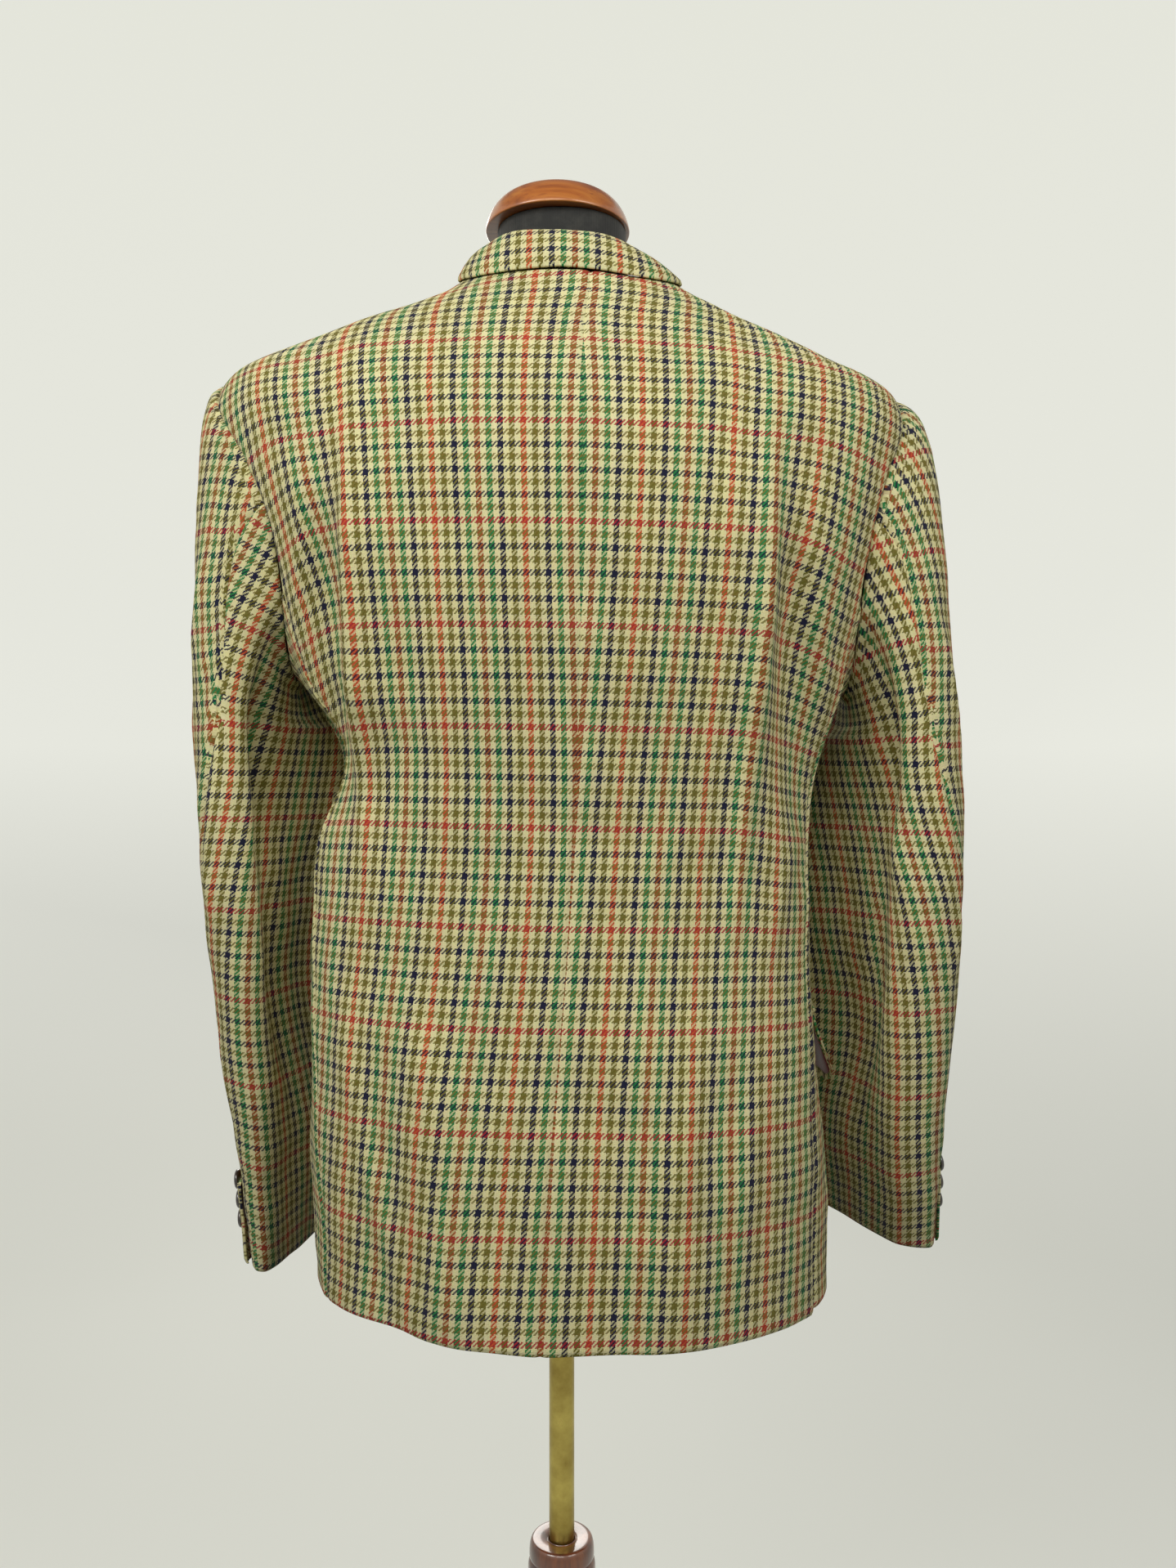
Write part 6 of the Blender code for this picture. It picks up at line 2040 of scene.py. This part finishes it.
@dataclass(frozen=True)
class Stand:
    """The brass pole, the turned hub that it stands in and the three bowed legs."""

    pole_radius: float = 0.0093
    pole_top: float = 0.6897
    pole_foot: float = 0.3908
    hub_radius: float = 0.0250
    hub_rows: Table = table("radius height", """
        8.7 305; 15.7 305.4; 20.7 308; 22.7 313; 21.9 317.5; 24.6 321; 25 335; 25 362.75; 25 390.5; 25 400.5;
        24.1 404.5; 22.5 406; 24 407.7; 24 413.5; 23.3 417.5; 22.1 419.8; 19.7 420.5; 12.6 420.1; 10.6 419.1;
        9.6 417.1; 9.6 390.5
    """)
    directions: tuple[float, ...] = (-90.0, 30.0, 150.0)
    leg_sides: int = 28
    leg_steps: int = 72
    leg_power: float = 0.75
    leg_rows: Table = table("out height width depth", """
        .0253 .37 .015 .03; .048 .349 .0155 .028; .082 .295 .016 .025; .125 .2 .016 .022;
        .17 .105 .0165 .021; .215 .04 .018 .022; .25 .011 .021 .024; .285 .009 .024 .02
    """)

    def pole(self) -> None:
        """Builds the pole."""
        heights = (self.pole_foot, 0.5, 0.6, self.pole_top)
        rings = turned_rings([(self.pole_radius, height) for height in heights], 64)
        ring_object("brass_pole", [rings], "pole_brass", "aged_brass", "pole")

    def hub(self) -> None:
        """Builds the hub, with beads cut round it near its top and its foot."""
        outline = np.array(self.hub_rows.rows) / MM
        ring_object("beech_hub", [turned_rings(outline, 72, 4)], "stand_beech", "dark_beech", "hub")

    def leg(self, number: int, direction: float) -> None:
        """Builds a leg.

        Args:
            number: Its number in the CAD.
            direction: Which way it points, in degrees.
        """
        heading = math.radians(direction)
        out = np.array([math.cos(heading), math.sin(heading), 0.0])
        across = np.array([-math.sin(heading), math.cos(heading), 0.0])
        places, steps = np.linspace(0, 1, len(self.leg_rows.rows)), np.linspace(0, 1, self.leg_steps + 1)
        columns = [self.leg_rows.column(name) for name in self.leg_rows.columns.split()]
        reach, height, width, depth = (curve(places, values, steps)[:, None] for values in columns)
        middle = out * reach + axis(1.0) * height
        run = unit(np.gradient(middle, axis=0))
        up = unit(np.cross(across, run))
        turn = np.linspace(0, 2 * math.pi, self.leg_sides, endpoint=False)[None, :, None]
        width, depth = width[..., None] / 2, depth[..., None] / 2
        rings = middle[:, None] + across * width * powered(np.cos(turn), self.leg_power)
        rings = rings + up[:, None] * depth * powered(np.sin(turn), self.leg_power)
        root = self.hub_radius + SEAM_GAP
        rings[0] += out * (root - rings[0] @ out)[:, None]
        rings[..., 2] = np.maximum(rings[..., 2], 0.0)
        ring_object(f"beech_leg_{number}", [rings], "stand_beech", "dark_beech", f"leg_{number}")

    def build(self) -> None:
        """Builds all of the stand."""
        self.pole()
        self.hub()
        for number, direction in enumerate(self.directions, 1):
            self.leg(number, direction)


# ---------------------------------------------------------------- studio


@dataclass(frozen=True)
class Studio:
    """A round pale cove, soft lights from above and the camera behind the jacket."""

    reach: float = 3.4
    cove: float = 1.6
    height: float = 4.4
    camera_at: tuple[float, float, float] = (-0.0195, 0.90, 0.98)
    long_side: float = 36.0
    focal_share: float = 1480 / 1918
    sky_above: float = 0.22
    sky_below: float = 0.015
    lamps: tuple[tuple[str, tuple[float, float, float], float, float], ...] = (
        ("key_left", (1.05, 1.15, 1.85), 16.0, 0.8), ("key_right", (-1.05, 1.15, 1.85), 11.2, 0.8),
        ("soft_behind", (0.15, 1.75, 1.95), 12.0, 0.9), ("soft_in_front", (0.50, -2.3, 2.00), 26.0, 1.2),
    )
    lamp_shade: str = "fffcf6"

    def room(self) -> None:
        """Builds the floor and the wall that it curves up into, as one turned sheet."""
        bend = np.radians(np.linspace(0, 90, 24))
        out, up = self.reach - self.cove + self.cove * np.sin(bend), self.cove * (1 - np.cos(bend))
        radius = np.concatenate([[0.02, 0.5, 1.0], out, [self.reach] * 3])
        rise = np.concatenate([[0.0, 0.0, 0.0], up, np.linspace(2.2, self.height, 3)])
        rings = revolved(np.stack([radius, rise], -1), 128)
        count, sides = rings.shape[:2]
        faces = [face[:1] + face[:0:-1] for face in ring_faces(count, sides)[:-2]] + [list(range(sides))]
        mesh = bpy.data.meshes.new("studio_cove")
        mesh.from_pydata(rings.reshape(-1, 3).tolist(), [], faces)
        mesh.shade_smooth()
        mesh.materials.append(bpy.data.materials["matt_paint"])
        mesh.transform(Matrix.Translation(STAND_AT + Vector((0, 0, -0.0005))))
        cove = in_scene("studio_cove", mesh)
        cove.visible_diffuse = cove.visible_shadow = False

    def light(self, name: str, at: Sequence[float], power: float, size: float) -> None:
        """Adds a soft square light that faces the jacket.

        Args:
            name: Its name.
            at: Its place about the pole.
            power: Its power in watts.
            size: The length of its side.
        """
        lamp = bpy.data.lights.new(name, "AREA")
        lamp.energy, lamp.size, lamp.color = power, size, linear(self.lamp_shade)[:3]
        lit = in_scene(name, lamp)
        lit.location = STAND_AT + Vector(at)
        lit.rotation_euler = (Vector((0, 0, 1.05)) - Vector(at)).to_track_quat("-Z", "Y").to_euler()
        lit.visible_camera = False

    def lights(self) -> None:
        """Adds the sky and the lights."""
        world = bpy.data.worlds.new("soft_sky")
        world.use_nodes = True
        tree = world.node_tree
        rise = add(tree, "SeparateXYZ", {0: add(tree, "TexCoord", output="Generated")}, output=2)
        strength = add(tree, "MapRange", {0: rise, 1: -0.1, 2: 1.0, 3: self.sky_below, 4: self.sky_above})
        tree.links.new(strength, tree.nodes["Background"].inputs["Strength"])
        tree.nodes["Background"].inputs["Color"].default_value = (1.0, 1.0, 1.0, 1.0)
        bpy.context.scene.world = world
        for lamp in self.lamps:
            self.light(*lamp)

    def camera(self) -> None:
        """Sets the camera level, behind the jacket."""
        lens = bpy.data.cameras.new("camera")
        lens.sensor_fit, lens.sensor_width = "AUTO", self.long_side
        lens.lens = self.focal_share * self.long_side
        eye = in_scene("camera", lens)
        eye.location = STAND_AT + Vector(self.camera_at)
        eye.rotation_euler = (math.radians(90), 0.0, math.radians(180))
        bpy.context.scene.camera = eye

    def build(self) -> None:
        """Builds the room and sets its lights and camera."""
        self.camera()
        self.room()
        self.lights()
        bpy.context.scene.view_settings.view_transform = "Standard"


# ---------------------------------------------------------------- the whole object


CREASE_COLUMNS = "across height slant reach length rise bend"
SEAM_STRIPE = table("height shift", """
    .6 0; .97 0; 1.13 .0074; 1.25 .0074; 1.3 .0045; 1.35 .003
""")
BACK_STRETCH = table("height scale", """
    .6 1; 1.24 1; 1.34 .9
""")
BACK_CREASES = {
    Side.LEFT: table(CREASE_COLUMNS, """
        .137 1.08 1 .006 .42 .0062 -.006; .158 1.11 2 .012 .28 -.0045 -.006;
        .178 1.12 -8 .006 .17 .0024 .004; .075 .745 12 .011 .26 .0026 .008;
        .12 .7 16 .009 .24 .004 -.006; .142 .79 8 .008 .12 .0022 .004;
        .156 .86 -4 .006 .1 .0018 .003; .02 .72 6 .011 .22 .0014 .004;
        .008 .65 -20 .006 .07 .0012 .002; .09 1.245 62 .012 .16 .0014 .006
    """),
    Side.RIGHT: table(CREASE_COLUMNS, """
        -.133 1.05 -4 .006 .46 .0064 .008; -.156 1.07 -4 .013 .32 -.0065 .008;
        -.178 1.08 6 .006 .18 .0026 -.004; -.15 .9 -14 .007 .14 .0024 -.003;
        -.08 .73 -10 .012 .26 .0024 -.006; -.125 .72 -6 .01 .22 .0024 .004;
        -.035 .7 -5 .011 .2 .0014 .003; -.008 .665 22 .006 .07 .0011 .002;
        -.095 1.24 -60 .012 .15 .0014 .006; -.06 .93 -70 .011 .1 .001 .004
    """),
}
BACK_TURNED = {
    Side.LEFT: ((1, (0.138, 1.100, 0.0), 0.130, 0.32, 0.07),),
    Side.RIGHT: ((-1, (0.132, 1.060, 0.10), 0.140, 0.32, 0.08),),
}
SIDE_CREASES = {
    Side.LEFT: table(CREASE_COLUMNS, """
        .29 .9 0 .045 .52 -.01 0; .27 .88 10 .008 .22 .0028 .005;
        .3 .84 4 .009 .26 .0026 -.004; .35 .76 -6 .009 .24 .0022 .004;
        .27 .7 6 .01 .16 .002 .003
    """),
    Side.RIGHT: table(CREASE_COLUMNS, """
        .29 .9 0 .045 .52 -.01 0; .27 .9 8 .008 .2 .0026 .004;
        .305 .82 6 .009 .28 .0028 -.005; .345 .74 -4 .01 .22 .0022 .003;
        .28 .69 8 .009 .14 .002 .003
    """),
}
FRONT_CREASES = {
    Side.LEFT: table(CREASE_COLUMNS, """
        .06 .955 68 .008 .13 .0018 .004; .075 .92 62 .008 .12 .0014 -.003;
        .11 .72 4 .011 .24 .0024 .005; .06 .7 -6 .012 .2 .002 .004;
        .135 1.12 -6 .008 .2 .0026 .006; .12 1.23 50 .01 .13 .0014 .004
    """),
    Side.RIGHT: table(CREASE_COLUMNS, """
        -.064 .95 -70 .008 .12 .0018 .004; -.08 .915 -64 .008 .12 .0015 -.003;
        -.105 .715 -4 .011 .24 .0024 -.005; -.055 .69 6 .012 .2 .002 -.004;
        -.138 1.115 6 .008 .2 .0026 -.006; -.122 1.225 -50 .01 .13 .0014 .004
    """),
}
SLEEVE_COLUMNS = "turn height slant reach length rise bend"
SLEEVE_CREASES = {
    Side.LEFT: table(SLEEVE_COLUMNS, """
        -126 .96 0 .02 .22 .013 0; -126 .8 0 .02 .5 .01 0; -46 .85 0 .018 .6 -.008 0;
        -38 1 0 .016 .2 -.015 0; 40 1.09 -16 .007 .13 .0026 .004;
        20 1.05 -20 .007 .12 -.0022 .004; 62 1 -12 .009 .16 .0026 .006;
        95 .93 10 .01 .2 .0026 .006; 30 .92 8 .008 .16 .0024 -.005;
        60 .85 -14 .009 .15 .0024 .004; 100 .79 12 .009 .16 .0022 -.004;
        40 .76 10 .008 .12 .002 .004; 140 .88 -24 .009 .14 .0026 .005;
        165 .94 34 .008 .1 .0024 .004; 180 .86 44 .008 .1 .0022 .003;
        150 1.12 16 .009 .14 .0022 .004; -20 .96 -10 .008 .18 .0024 .004;
        -60 .9 12 .009 .18 .0022 .004; -100 .92 -14 .008 .14 .0022 .003;
        -40 .76 6 .008 .16 .0018 .003
    """),
    Side.RIGHT: table(SLEEVE_COLUMNS, """
        -126 .96 0 .02 .22 .008 0; -126 .8 0 .02 .5 .01 0; -50 .85 0 .016 .56 -.007 0;
        -38 1.02 0 .014 .2 -.015 0; -80 .78 0 .03 .2 -.01 0; 36 1.06 -18 .007 .15 .0028 .004;
        16 1.01 -14 .007 .14 -.0022 .004; 58 .96 -10 .009 .18 .0028 .006;
        90 .9 8 .01 .2 .0026 -.006; 34 .88 12 .008 .14 .0024 -.004;
        64 .81 -12 .009 .15 .0024 .004; 104 .77 14 .009 .14 .002 .004;
        44 .72 8 .008 .12 .002 -.004; 145 .9 -28 .009 .13 .0026 .004;
        168 .92 36 .008 .11 .0022 .004; 176 .85 40 .008 .1 .0022 .003;
        150 1.11 18 .009 .14 .0022 .004; -24 .94 -12 .008 .18 .0024 .004;
        -62 .89 10 .009 .18 .0022 .004; -104 .91 -12 .008 .14 .0022 .003;
        -44 .78 8 .008 .16 .0018 .003
    """),
}
FLAP_STAND = {Side.LEFT: 0.0030, Side.RIGHT: 0.0120}
LAPEL_FROM = {Side.LEFT: 0.02, Side.RIGHT: 0.16}
SLEEVE_STRIPES = {Side.LEFT: (0.020, 0.010), Side.RIGHT: (0.020, 0.010)}


def main() -> None:
    """Builds the whole object and its studio."""
    logging.basicConfig(level=logging.INFO, format="%(message)s")
    for finish in FINISHES:
        finish.make()
    Studio().build()
    for side in Side:
        BackPanel(side, BACK_CREASES[side], SEAM_STRIPE, BACK_STRETCH, BACK_TURNED[side]).build()
        SidePanel(side, SIDE_CREASES[side]).build()
        Front(side, FRONT_CREASES[side], FLAP_STAND[side], lapel_from=LAPEL_FROM[side]).build()
        Sleeve(side, SLEEVE_CREASES[side], *SLEEVE_STRIPES[side]).build()
    Collar().build()
    FrontFastening().build()
    DressForm().build()
    Stand().build()


if __name__ == "__main__":
    main()
